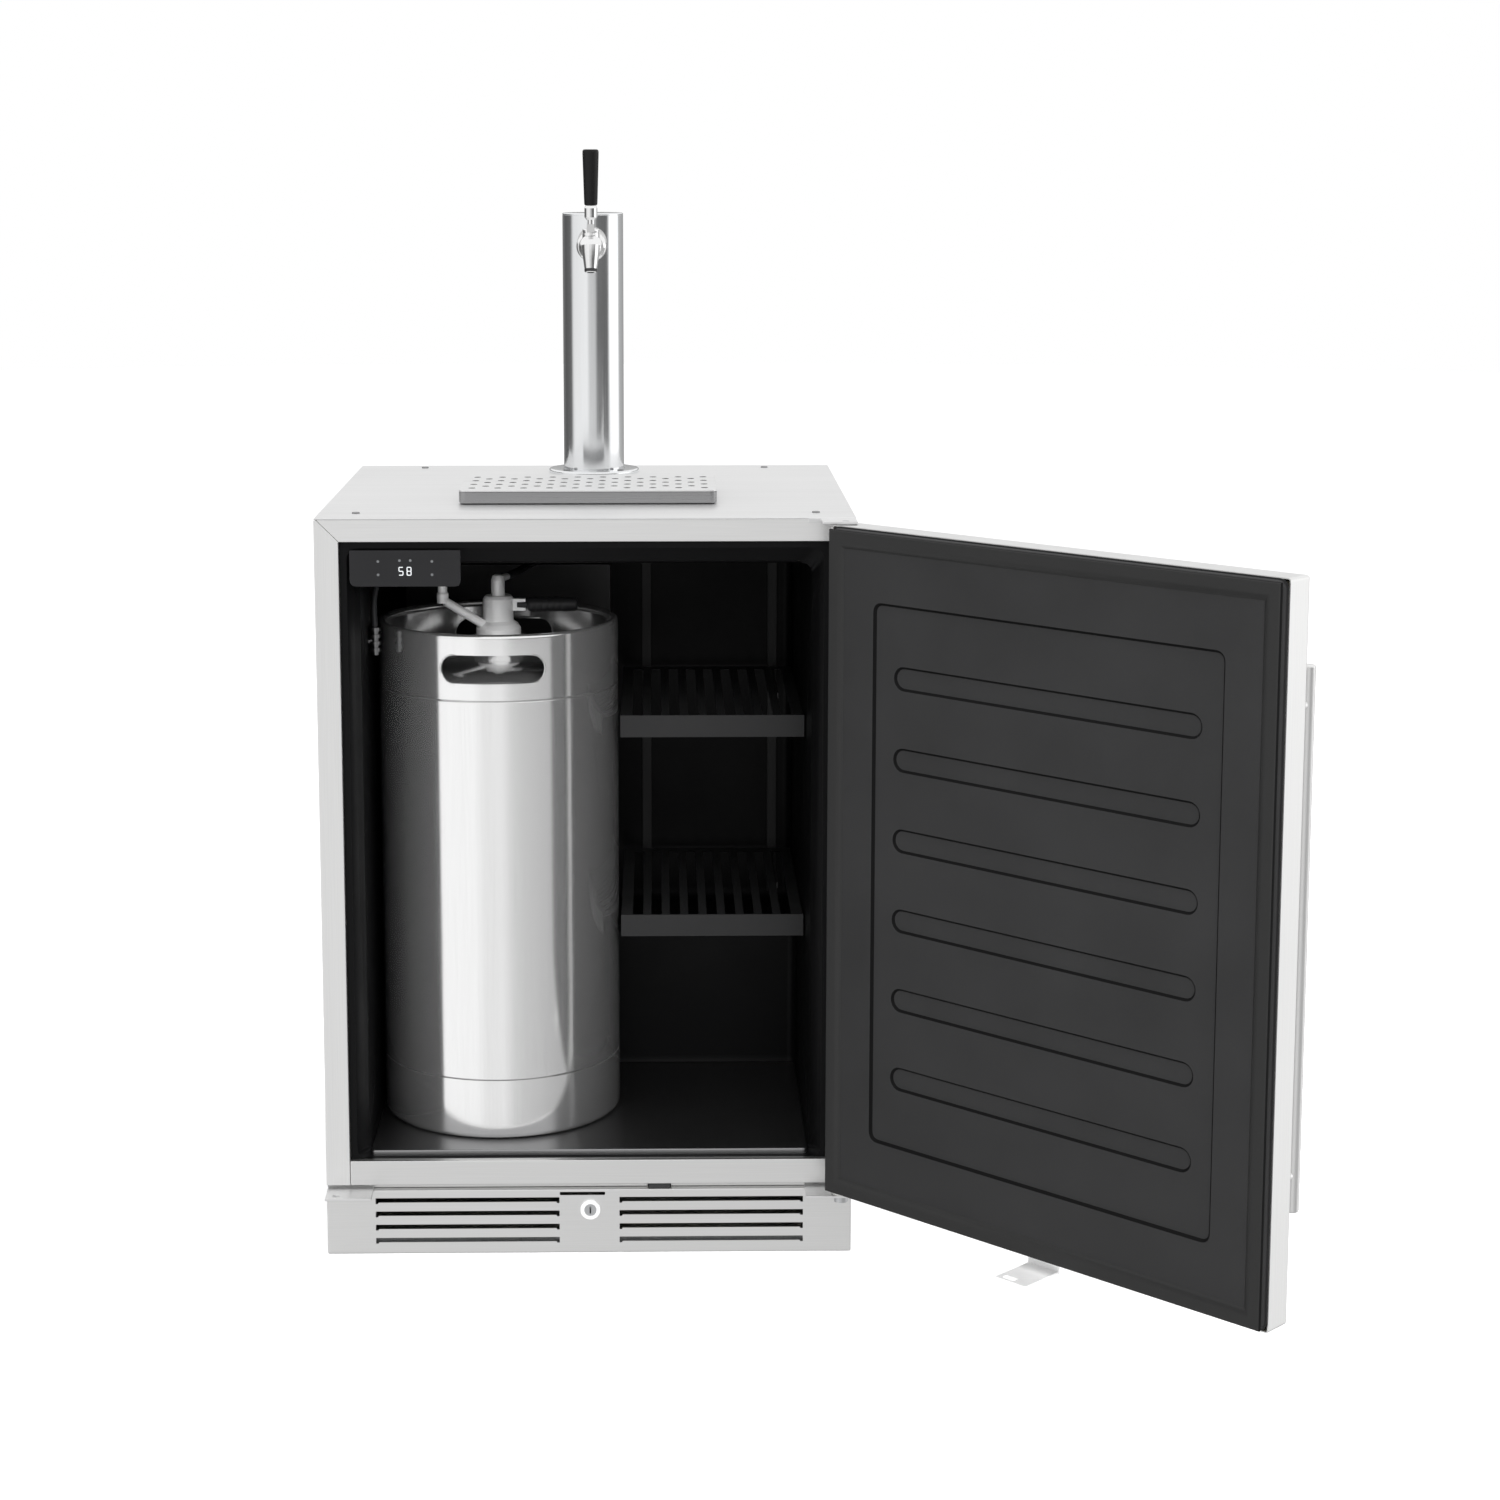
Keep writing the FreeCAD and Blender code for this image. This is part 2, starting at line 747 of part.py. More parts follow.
def make_door():
    """The door's pieces in their closed place; swing_door() turns them to the open rest place."""
    half = "(door_width / 2)"
    inner_half = f"({half} - sheet_gauge)"
    hinge_low = ("hinge_across", HINGE_Y, "door_low - 2")
    hinge_high = ("hinge_across", HINGE_Y, "door_high - 20")
    pan = cut(
        box((f"-{half}", half), (DOOR_FACE, PAN_REAR), ("door_low", "door_high")),
        box(
            (f"-{inner_half}", inner_half),
            (f"{DOOR_FACE} + sheet_gauge", f"{PAN_REAR} + 1"),
            ("door_low + sheet_gauge", "door_high - sheet_gauge"),
        ),
        rod("bush_radius", hinge_low, "12"),
        rod("bush_radius", hinge_high, "24"),
    )
    keep("door_pan", pan)
    foam = cut(
        box(
            (f"-({inner_half} - seam_gap)", f"{inner_half} - seam_gap"),
            (f"{DOOR_FACE} + sheet_gauge + seam_gap", f"{PAN_REAR} - seam_gap"),
            ("door_low + sheet_gauge + seam_gap", "door_high - sheet_gauge - seam_gap"),
        ),
        rod("bush_radius + seam_gap", hinge_low, "20"),
        rod("bush_radius + seam_gap", hinge_high, "30"),
    )
    keep("door_foam", foam)

    panel_half = f"({half} - panel_margin)"
    panel = box(
        (f"-{panel_half}", panel_half),
        (PAN_REAR, PANEL_REAR),
        ("door_low + panel_margin", "door_high - panel_margin + 0.5"),
    )
    from_hinge = f"({half} - 67)", f"({half} - 522)"
    field = box(
        (from_hinge[1], from_hinge[0]),
        (f"{PANEL_REAR} - panel_relief", f"{PANEL_REAR} + 1"),
        ("162", "771"),
    )
    field = rounded(field, 12, through)
    grooves = []
    for row in range(6):
        level = f"(241 + 90 * {row})"
        ends = f"({half} - 482.2)", f"({half} - 107.8)"
        floor = f"{PANEL_REAR} - panel_relief - groove_relief"
        bar = box(ends, (floor, f"{PANEL_REAR} + 1"), (f"{level} - 12.8", f"{level} + 12.8"))
        caps = [rod("12.8", (x, floor, level), "panel_relief + groove_relief + 1", (0, 1, 0)) for x in ends]
        grooves += [bar, *caps]
    keep("door_inner_panel", cut(panel, field, *grooves))

    gasket_half = f"({panel_half} - 1)"
    low = "(door_low + panel_margin + 1)"
    high = "(door_high - panel_margin - 0.5)"
    gasket = cut(
        box((f"-{gasket_half}", gasket_half), (f"{PANEL_REAR} + 0.02", DOOR_REAR), (low, high)),
        box(
            (f"-({gasket_half} - gasket_width)", f"{gasket_half} - gasket_width"),
            (f"{PANEL_REAR} - 1", f"{DOOR_REAR} + 1"),
            (f"{low} + gasket_width", f"{high} - gasket_width"),
        ),
    )
    keep("door_gasket", gasket)

    bar_x = f"(-({half} - handle_inset))"
    bar_y = f"({DOOR_FACE} - handle_reach + handle_radius)"
    bar = rod("handle_radius", (bar_x, bar_y, "handle_low"), "handle_high - handle_low")
    keep("handle_bar", bar)
    posts = [
        rod(
            "6",
            (bar_x, f"{bar_y} + handle_radius - 0.9", level),
            "handle_reach - 2 * handle_radius + 0.85",
            (0, 1, 0),
        )
        for level in ("handle_low + 40", "handle_high - 40")
    ]
    seats = [cut(post, rod("handle_radius", (bar_x, bar_y, "handle_low"), "600")) for post in posts]
    keep("handle_standoffs", group(*seats))

    bore = "pin_radius + running_clearance"
    low_bush = turned(
        "low_bush",
        [(bore, "79.7"), ("11", "79.7"), ("11", "door_low - 0.02"), ("bush_radius", "door_low - 0.02"),
         ("bush_radius", "98"), (bore, "98")],
        ("hinge_across", HINGE_Y, "0"),
    )
    high_bush = turned(
        "high_bush",
        [(bore, "door_high - 14"), ("bush_radius", "door_high - 14"), ("bush_radius", "door_high"),
         (bore, "door_high")],
        ("hinge_across", HINGE_Y, "0"),
    )
    keep("door_bushes", group(low_bush, high_bush))

    width = ("strike_left", "strike_right")
    tab_y = f"({FRONT} - 24)"
    strike = cut(
        fuse(
            box(width, (f"{tab_y} - 16", f"{tab_y} + 3"), ("door_low - 3", "door_low - 0.02")),
            box(width, (tab_y, f"{tab_y} + 3"), ("strike_low", "door_low - 1")),
            box(width, (tab_y, f"{FRONT} + 36"), ("strike_low", "strike_low + 3")),
        ),
        box(
            ("lock_offset - 8", "lock_offset + 8"),
            (f"{FRONT} + 24", f"{FRONT} + 32"),
            ("strike_low - 1", "strike_low + 5"),
        ),
    )
    keep("lock_strike", strike)


DOOR_NODES = (
    "door_pan",
    "door_foam",
    "door_inner_panel",
    "door_gasket",
    "handle_bar",
    "handle_standoffs",
    "door_bushes",
    "lock_strike",
)


def swing_door():
    """Turns every door piece about the hinge pins, from closed to its rest place."""
    half_depth = DIMENSIONS["cabinet_depth"] / 2
    pin = FreeCAD.Vector(DIMENSIONS["hinge_across"], -half_depth - DIMENSIONS["hinge_ahead"], 0)
    turn = FreeCAD.Rotation(FreeCAD.Vector(0, 0, 1), DIMENSIONS["door_open_angle"])
    swing = FreeCAD.Placement(FreeCAD.Vector(), turn, pin)
    for name in DOOR_NODES:
        piece = nodes[name]
        if piece.TypeId == "Part::Cylinder":
            piece = keep(name, group(piece))
        piece.Placement = swing


# ---------------------------------------------------------------- tower and tap


def make_tower():
    """The draft tower: flange, column with the shank's hole, and cap."""
    at = ("0", "tower_back", "cabinet_height + 0.05")
    flange = cut(
        rod("tower_flange_radius", at, "tower_flange_height"),
        rod("tower_radius + seam_gap", ("0", "tower_back", "cabinet_height - 1"), "20"),
        *[rod("2.1", (x, y, "cabinet_height - 1"), "20") for x, y in TOWER_SCREWS],
    )
    keep("tower_flange", flange)
    inner = "(tower_radius - tower_wall)"
    column = cut(
        rod("tower_radius", at, "tower_top - cabinet_height"),
        rod(inner, ("0", "tower_back", "cabinet_height - 1"), "400"),
        rod("11.2", ("0", "tower_back - 60", "tap_height"), "60", (0, 1, 0)),
    )
    keep("tower_column", column)
    cap = [
        ("0", "-8"),
        (f"{inner} - seam_gap", "-8"),
        (f"{inner} - seam_gap", "0.1"),
        ("tower_radius", "0.1"),
        ("tower_radius", "1.6"),
        ("tower_radius - 1.2", "2.6"),
        ("0", "2.6"),
    ]
    keep("tower_cap", turned("cap", cap, ("0", "tower_back", "tower_top")))


def make_faucet():
    """Shank, faucet body with its bores, lever with its ball, sliding shaft and tap handle."""
    face = "(tower_back - tower_radius)"
    shank = cut(
        fuse(
            rod("18", ("0", f"{face} - 8.6", "tap_height"), "8.2", (0, 1, 0)),
            rod("11", ("0", f"{face} - 30", "tap_height"), "50", (0, 1, 0)),
            rod("9", ("0", f"{face} + 20", "tap_height"), "18", (0, 1, 0)),
            ball("10.2", ("0", "tower_back", "tap_height")),
            rod("6", ("0", "tower_back", "tap_height - 28"), "28"),
        ),
        rod("7", ("0", f"{face} - 31", "tap_height"), "45", (0, 1, 0)),
    )
    keep("faucet_shank", shank)

    pivot = ("0", "tap_pivot_back", "tap_pivot_height")
    body = cut(
        fuse(
            rod("15", ("0", "80", "tap_height"), f"{face} - 30.2 - 80", (0, 1, 0)),
            rod("18.5", ("0", f"{face} - 46", "tap_height"), "15.8", (0, 1, 0)),
            rod("10.5", ("0", "tap_pivot_back", "tap_height"), "21"),
            cone("6.8", "11", ("0", "76", "1110.5"), "32", (0, 0.2, 1)),
        ),
        rod("6.2", ("0", "86", "tap_height"), "60", (0, 1, 0)),
        ball("6.9", pivot),
        box(("-4.6", "4.6"), ("tap_pivot_back - 20", "tap_pivot_back + 4.6"), ("tap_pivot_height", "1168")),
        box(("-3", "3"), ("tap_pivot_back - 3.5", "tap_pivot_back + 11"), ("1141", "tap_pivot_height")),
        rod("4.8", ("0", "75", "1105"), "36", (0, 0.2, 1)),
        rod("2.3", ("-9.8", "tap_pivot_back", "tap_pivot_height"), "19.6", (1, 0, 0)),
    )
    keep("faucet_body", body)

    lever = fuse(
        ball("6.5", pivot),
        rod("2.2", ("-9.5", "tap_pivot_back", "tap_pivot_height"), "19", (1, 0, 0)),
        rod("2", ("0", "tap_pivot_back", "tap_pivot_height - 12.5"), "12"),
        rod("4", pivot, "32"),
        turned(
            "ferrule",
            [("0", "14"), ("5.5", "14"), ("7.9", "17"), ("7.9", "28"), ("6.4", "31.5"), ("0", "31.5")],
            pivot,
        ),
    )
    keep("faucet_lever", lever)
    grip = [
        ("0", "31.6"),
        ("7.8", "31.6"),
        ("8.2", "33"),
        ("9.9", "handle_top - tap_pivot_height - 1.5"),
        ("8.6", "handle_top - tap_pivot_height"),
        ("0", "handle_top - tap_pivot_height"),
    ]
    grip_body = turned("grip", grip, pivot)
    keep("tap_handle", cut(grip_body, rod("4.02", pivot, "32.2")))
    shaft = cut(
        rod("4.5", ("0", "89", "tap_height"), "38", (0, 1, 0)),
        box(
            ("-6", "6"),
            ("tap_pivot_back - 4.2", "tap_pivot_back + 4.2"),
            ("tap_height - 0.6", "tap_height + 6"),
        ),
    )
    keep("faucet_shaft", shaft)


def make_drip_tray():
    """The lift-off tray on the top panel, and its perforated grid."""
    floor = "(cabinet_height + rest_gap)"
    rim = f"({floor} + tray_depth)"
    tray = rounded(
        box(("-tray_half", "tray_half"), ("tray_front", "tray_back"), (floor, rim)), 9, upright
    )
    hollow = rounded(
        box(
            ("-tray_half + sheet_gauge", "tray_half - sheet_gauge"),
            ("tray_front + sheet_gauge", "tray_back - sheet_gauge"),
            (f"{floor} + sheet_gauge", f"{rim} + 1"),
        ),
        7.8,
        upright,
    )
    keep("drip_tray", cut(tray, hollow))
    points = rectangle("-tray_half", "tray_half", "tray_front", "tray_back")
    grid = padded("grid", "XY_Plane", points, "grid_thick", ("0", "0", f"{rim} + rest_gap"))
    middle = "((tray_front + tray_back) / 2)"
    hole = pierced(
        grid,
        "XY_Plane",
        lambda sketch: ring(
            sketch, ("-grid_pitch * 4.5", f"{middle} - grid_row * 1.5"), "grid_hole_radius"
        ),
    )
    repeated(grid, hole, (("H_Axis", "grid_pitch", 10), ("V_Axis", "grid_row", 4)))
    between = pierced(
        grid,
        "XY_Plane",
        lambda sketch: ring(sketch, ("-grid_pitch * 4", f"{middle} - grid_row"), "grid_hole_radius"),
    )
    repeated(grid, between, (("H_Axis", "grid_pitch", 9), ("V_Axis", "grid_row", 3)))
    keep("drip_grid", grid)


# ---------------------------------------------------------------- keg, coupler and lines


def make_keg():
    """The slim quarter-barrel keg: domed shell, two skirts and the valve with its spear."""
    at = ("keg_across", "keg_back", "0")
    radius = "keg_radius"
    low, high = "seam_low", "seam_high"
    outer = [
        ("0", f"{low} - 38"),
        (f"{radius} - 80", f"{low} - 36"),
        (f"{radius} - 30", f"{low} - 24"),
        (f"{radius} - 8", f"{low} - 10"),
        (f"{radius} - 2.4", f"{low} - 1"),
        (radius, f"{low} + 0.5"),
        (radius, f"{high} - 0.5"),
        (f"{radius} - 2.4", f"{high} + 1"),
        (f"{radius} - 8", f"{high} + 10"),
        (f"{radius} - 30", f"{high} + 24"),
        (f"{radius} - 80", f"{high} + 34"),
        ("32", f"{high} + 37"),
        ("32", "684"),
    ]
    inner = [
        ("28", "684"),
        ("28", f"{high} + 34"),
        (f"{radius} - 82", f"{high} + 31"),
        (f"{radius} - 32", f"{high} + 21"),
        (f"{radius} - 11", f"{high} + 7"),
        (f"{radius} - 4.4", f"{high} - 3"),
        (f"{radius} - 4.4", f"{low} + 3"),
        (f"{radius} - 11", f"{low} - 7"),
        (f"{radius} - 32", f"{low} - 21"),
        (f"{radius} - 82", f"{low} - 33"),
        ("0", f"{low} - 35"),
    ]
    keep("keg_shell", turned("keg", outer + inner, at))

    wall = f"({radius} - keg_wall)"
    top = turned(
        "top_skirt",
        [
            (wall, f"{high} + 1.2"),
            (radius, f"{high} + 1.2"),
            (radius, "keg_top - 3"),
            (f"{radius} - 1.5", "keg_top - 0.6"),
            (f"{radius} - 4.5", "keg_top"),
            (f"{radius} - 8", "keg_top - 1"),
            (f"{radius} - 9.4", "keg_top - 5"),
            (f"{radius} - 8", "keg_top - 8.5"),
            (f"{radius} - 6.8", "keg_top - 8"),
            (f"{radius} - 7.6", "keg_top - 4.6"),
            (f"{radius} - 5", "keg_top - 2.4"),
            (wall, "keg_top - 4.4"),
        ],
        at,
    )
    slot_half = "(hand_slot_width / 2 - hand_slot_height / 2)"
    reach = "(2 * keg_radius + 20)"
    start = "keg_back - keg_radius - 10"
    slot = [
        box(
            (f"keg_across - {slot_half}", f"keg_across + {slot_half}"),
            (start, f"{start} + {reach}"),
            ("hand_slot_level - hand_slot_height / 2", "hand_slot_level + hand_slot_height / 2"),
        )
    ]
    for sign in ("-", "+"):
        at_end = (f"keg_across {sign} {slot_half}", start, "hand_slot_level")
        slot.append(rod("hand_slot_height / 2", at_end, reach, (0, 1, 0)))
    keep("keg_top_skirt", cut(top, *slot))
    bottom = turned(
        "bottom_skirt",
        [
            (wall, f"{low} - 1.2"),
            (wall, f"{KEG_FLOOR} + 6"),
            (f"{wall} - 12", f"{KEG_FLOOR} + 4"),
            (f"{wall} - 12", f"{KEG_FLOOR} + 0.05"),
            (f"{radius} - 6", f"{KEG_FLOOR} + 0.05"),
            (radius, f"{KEG_FLOOR} + 6"),
            (radius, f"{low} - 1.2"),
        ],
        at,
    )
    keep("keg_bottom_skirt", bottom)
    valve = [
        ("0", "170"),
        ("6", "170"),
        ("6", "655"),
        ("27.8", "664"),
        ("27.8", "684.1"),
        ("31", "684.1"),
        ("31", "690"),
        ("0", "690"),
    ]
    keep("keg_valve", turned("valve", valve, at))


def make_coupler():
    """The coupler on the keg's valve: body with gas nipple, probe with beer elbow, and handle."""
    at = ("keg_across", "keg_back", "coupler_base")
    stand = turned(
        "coupler",
        [
            ("0", "0"),
            ("26.5", "0"),
            ("26.5", "9"),
            ("23.5", "14"),
            ("18", "18"),
            ("18", "44"),
            ("15.5", "47.5"),
            ("0", "47.5"),
        ],
        at,
    )
    nipple_start = ("keg_across - 14", "keg_back - 9", "coupler_base + 12")
    nipple = rod("5.2", nipple_start, "58", (-50, -16, 34))
    tail = turned(
        "gas_tail",
        [("0", "-4"), ("6.8", "-4"), ("6.8", "7"), ("5.6", "9"), ("5.6", "17.9"), ("0", "17.9")],
        ("-172", "-106", "737"),
    )
    lug_high, lug_low = "coupler_level + 7", "coupler_level - 7"
    lug = box(
        ("keg_across + 12", "coupler_pivot + 6"),
        ("keg_back - 4", "keg_back + 4"),
        (lug_low, lug_high),
    )
    hole = rod("3.05", ("coupler_pivot", "keg_back - 10", "coupler_level"), "20", (0, 1, 0))
    probe_hole = rod("8.1", ("keg_across", "keg_back", "coupler_base + 2"), "60")
    keep("coupler_body", cut(fuse(stand, nipple, tail, lug), hole, probe_hole))

    probe = fuse(
        turned(
            "probe",
            [("0", "2.2"), ("8", "2.2"), ("8", "66"), ("6.5", "71"), ("4", "72.5"), ("0", "72.5")],
            at,
        ),
        rod("4.3", ("keg_across", "keg_back", "757"), "26", (0.358, 0.934, 0)),
    )
    keep("coupler_probe", probe)

    ears = [
        box(("coupler_pivot - 4", "-62"), (low, high), ("coupler_level - 5", "coupler_level + 5"))
        for low, high in (("keg_back - 8", "keg_back - 4.3"), ("keg_back + 4.3", "keg_back + 8"))
    ]
    pin = rod("3", ("coupler_pivot", "keg_back - 8", "coupler_level"), "16", (0, 1, 0))
    grip = rod("8.5", ("-68", "keg_back", "coupler_level"), "50", (1, 0, 0))
    tip = cone("8.5", "6.5", ("-18", "keg_back", "coupler_level"), "4", (1, 0, 0))
    keep("coupler_handle", fuse(*ears, pin, grip, tip))

    ribs = [(("6.5" if step % 2 else "4.6"), f"{4 * step}") for step in range(9)]
    stepped = []
    for index in range(8):
        rib = ribs[index][0]
        stepped += [(rib, ribs[index][1]), (rib, ribs[index + 1][1])]
    spine = turned("gas_spine", [("0", "0"), *stepped, ("0", "32")], ("-246.5", "gas_inlet_back", "681"))
    stub = rod("3.4", ("gas_inlet_across", "gas_inlet_back", "gas_inlet_level"), "23.5", (1, 0, 0))
    run_length = f"{BACK} + 6 - (gas_inlet_back - 2)"
    run = rod("3.6", ("gas_inlet_across", "gas_inlet_back - 2", "gas_inlet_level"), run_length, (0, 1, 0))
    nut = rod("8", ("gas_inlet_across", f"{BACK} + 0.1", "gas_inlet_level"), "8", (0, 1, 0))
    tail_at = ("gas_inlet_across", f"{BACK} + 8", "gas_inlet_level")
    tail = rod("gas_tail_radius", tail_at, "gas_tail_length", (0, 1, 0))
    keep("gas_bulkhead", fuse(spine, stub, run, nut, tail))


BEER_ROUTE = (
    (-99.0, -56.2, 757),
    (-86, -22, 758.5),
    (-70, 21, 763),
    (-50, 68, 767),
    (-28, 112, 767),
    (-12, 146, 769),
    (-4.5, 176, 778),
    (-1, 195, 798),
    (0, 202, 826),
    (0.8, 203, 865),
    (-0.8, 202.2, 935),
    (0.8, 203, 1015),
    (0, 202.5, 1070),
    (0, 202.4, 1117.9),
)

GAS_ROUTE = (
    (-172, -106, 755),
    (-174, -106, 771),
    (-185, -108, 787),
    (-203, -116, 794),
    (-222, -128, 791),
    (-238, -142, 779),
    (-246, -154, 759),
    (-248, -159.5, 736),
    (-246.5, -160, 713.1),
)


def hose(name, route, width):
    """A tube along straight runs joined by tangent arcs, as a shape made from the route."""
    points = [FreeCAD.Vector(*point) for point in route]
    radius = DIMENSIONS[width] / 2
    edges = []
    here = points[0]
    tightest = math.inf
    for before, corner, after in zip(points, points[1:], points[2:]):
        back, ahead = before - corner, after - corner
        reach = 0.45 * min(back.Length, ahead.Length)
        back.normalize()
        ahead.normalize()
        start, end = corner + back * reach, corner + ahead * reach
        half_turn = (math.pi - back.getAngle(ahead)) / 2
        bend = reach / math.tan(half_turn)
        tightest = min(tightest, bend)
        inward = (back + ahead).normalize()
        middle = corner + inward * (bend / math.cos(half_turn) - bend)
        edges.append(Part.LineSegment(here, start).toShape())
        edges.append(Part.Arc(start, middle, end).toShape())
        here = end
    edges.append(Part.LineSegment(here, points[-1]).toShape())
    path = Part.Wire(edges)
    section = Part.Wire([Part.Circle(points[0], points[1] - points[0], radius).toShape()])
    tube = path.makePipeShell([section], True, False)
    feature = doc.addObject("Part::Feature", name)
    feature.Shape = tube
    expected = math.pi * radius**2 * path.Length
    ratio = tube.Volume / expected
    print(f"{name}: length {path.Length:.1f}, volume ratio {ratio:.4f}, tightest bend {tightest:.1f}")
    keep(name, feature)


# ---------------------------------------------------------------- shelves


def make_shelves():
    """Two slotted shelves with turned-up fronts, on cantilever brackets and wall standards."""
    right = "floor_plate_half"
    for name, top in (("shelf_upper", "shelf_upper_top"), ("shelf_lower", "shelf_lower_top")):
        deck = f"({top} - 6)"
        points = rectangle("shelf_left", right, "shelf_front", "shelf_back")
        plate = padded(f"{name}_deck", "XY_Plane", points, "sheet_gauge", ("0", "0", deck))
        slot = pierced(
            plate,
            "XY_Plane",
            lambda sketch: outline(
                sketch,
                rectangle("shelf_left + 14", "shelf_left + 26", "shelf_front + 20", "shelf_back - 20"),
            ),
        )
        repeated(plate, slot, (("H_Axis", "22", 9),))
        fascia = box(
            ("shelf_left", right),
            ("shelf_front - sheet_gauge", "shelf_front + 0.3"),
            (f"{top} - shelf_fascia", top),
        )
        keep(name, fuse(plate, fascia))
    holders = []
    for across in ("66", "228"):
        holders.append(
            box(
                (f"{across} - 6", f"{across} + 6"),
                ("cavity_back - 4", "cavity_back - seam_gap"),
                ("step_top + 10", "cavity_ceiling - 10"),
            )
        )
        for top in ("shelf_upper_top", "shelf_lower_top"):
            arm = padded(
                "shelf_arm",
                "YZ_Plane",
                [
                    ("40", f"{top} - 6.2"),
                    ("cavity_back - 4.2", f"{top} - 6.2"),
                    ("cavity_back - 4.2", f"{top} - 44"),
                    ("40", f"{top} - 14"),
                ],
                "2",
                (f"{across} - 1", "0", "0"),
            )
            holders.append(arm)
    keep("shelf_brackets", group(*holders))


# ---------------------------------------------------------------- machinery


def fan(centre, radius, hub, depth, blades=5):
    """A fan whose tilted blades meet a hub that turns about an axis along Y."""
    x, y, z = centre
    pieces = [rod(hub, (x, f"({y}) - {depth} / 2", z), depth, (0, 1, 0))]
    for blade in range(blades):
        turn = 360 * blade / blades
        paddle = doc.addObject("Part::Box", "blade")
        paddle.setExpression("Length", bound(f"({radius}) - ({hub}) + 3"))
        paddle.setExpression("Width", bound("1.6"))
        paddle.setExpression("Height", bound(f"({radius}) * 0.5"))
        spin = FreeCAD.Rotation(FreeCAD.Vector(0, 1, 0), turn)
        tilt = FreeCAD.Rotation(FreeCAD.Vector(1, 0, 0), 22)
        reach = DIMENSIONS[radius]
        offset = spin.multVec(FreeCAD.Vector(float(hub) - 3, 0, -reach * 0.22))
        paddle.Placement = FreeCAD.Placement(FreeCAD.Vector(), spin.multiply(tilt))
        put(paddle, (f"({x}) + ({offset.x:.4f})", f"({y}) + 3", f"({z}) + ({offset.z:.4f})"))
        pieces.append(paddle)
    return fuse(*pieces)


def make_machinery():
    """Compressor, condenser, the two fans, the evaporator's cover and the control box."""
    wall = "3"
    shell = turned(
        "compressor_shell",
        [
            ("0", "20"),
            ("compressor_radius - 16", "20"),
            ("compressor_radius", "38"),
            ("compressor_radius", "150"),
            ("compressor_radius - 16", "172"),
            ("0", "178"),
            ("0", f"178 - {wall}"),
            ("compressor_radius - 18", f"172 - {wall}"),
            (f"compressor_radius - {wall}", "149"),
            (f"compressor_radius - {wall}", "39"),
            ("compressor_radius - 18", f"20 + {wall}"),
            ("0", f"20 + {wall}"),
        ],
        ("-95", "196", "0"),
    )
    rail_low, rail_high = "base_gauge + seam_gap", "20.05"
    rails = [
        box((x_low, x_high), ("136", "256"), (rail_low, rail_high))
        for x_low, x_high in (("-135", "-123"), ("-67", "-55"))
    ]
    keep("compressor", fuse(shell, *rails))

    low, high = "fan_level - fan_radius - 12", "fan_level + fan_radius + 12"
    fins = [
        box((f"{36 + 12 * step}", f"{37.2 + 12 * step}"), ("232", "264"), (low, high))
        for step in range(15)
    ]
    tubes = [
        rod("4", ("34", "248", f"fan_level + {level}"), "172", (1, 0, 0))
        for level in (-66, -40, -14, 14, 40, 66)
    ]
    keep("condenser", fuse(*fins, *tubes))
    keep("condenser_fan", fan(("fan_across", "205", "fan_level"), "fan_radius", "18", "30"))

    middle = "((cover_left + cover_right) / 2)"
    level = "((cover_low + cover_high) / 2)"
    cover = cut(
        box(
            ("cover_left", "cover_right"),
            ("cavity_back - 33", "cavity_back - seam_gap"),
            ("cover_low", "cover_high"),
        ),
        box(
            ("cover_left + 1.5", "cover_right - 1.5"),
            ("cavity_back - 31.5", "cavity_back + 1"),
            ("cover_low + 1.5", "cover_high - 1.5"),
        ),
        rod("evaporator_fan_radius - 2", (middle, "cavity_back - 40", level), "20", (0, 1, 0)),
    )
    keep("evaporator_cover", cover)
    keep(
        "evaporator_fan",
        fan((middle, "cavity_back - 16", level), "evaporator_fan_radius", "14", "14"),
    )
    housing = cut(
        box(("-246", "-176"), ("205", "274"), ("inlet_low - 14", "inlet_high + 40")),
        box(("-244", "-178"), ("207", "272"), ("inlet_low - 12", "inlet_high + 38")),
        box(("-236", "-186"), ("270", "275"), ("inlet_low", "inlet_high")),
    )
    inlet = cut(
        box(("-235.5", "-186.5"), ("250", "277.5"), ("inlet_low + 0.5", "inlet_high - 0.5")),
        box(("-225", "-197"), ("256", "280"), ("inlet_low + 5", "inlet_high - 5")),
    )
    keep("control_box", group(housing, inlet))


# ---------------------------------------------------------------- build, check and write

make_frame()
make_kick_plate()
make_casing()
make_screws()
make_cavity()
make_fittings()
make_hinges()
make_lock()
make_door()
swing_door()
make_tower()
make_faucet()
make_drip_tray()
make_keg()
make_coupler()
hose("beer_line", BEER_ROUTE, "beer_line_width")
hose("gas_line", GAS_ROUTE, "gas_line_width")
make_shelves()
make_machinery()
doc.recompute()

failed = [o.Label for o in doc.Objects if {"Invalid", "Error"} & set(o.State)]
if failed:
    raise RuntimeError(f"failed objects: {failed}")
unsound = [
    name
    for name, piece in nodes.items()
    if piece.Shape.isNull() or not piece.Shape.isValid() or not piece.Shape.Solids
]
if unsound:
    raise RuntimeError(f"no valid solid in: {unsound}")

os.makedirs("parts", exist_ok=True)
for node_name, piece in nodes.items():
    piece.Shape.exportStep(os.path.join("parts", f"{node_name}.step"))
print(f"{len(nodes)} nodes written")
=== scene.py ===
"""The looks of a kegerator with its door open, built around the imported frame.

Every piece is in the row frame, in metres: +Z up, the front towards -Y, the floor at zero.
"""

import json
import math

import bmesh
import bpy
from mathutils import Matrix, Vector

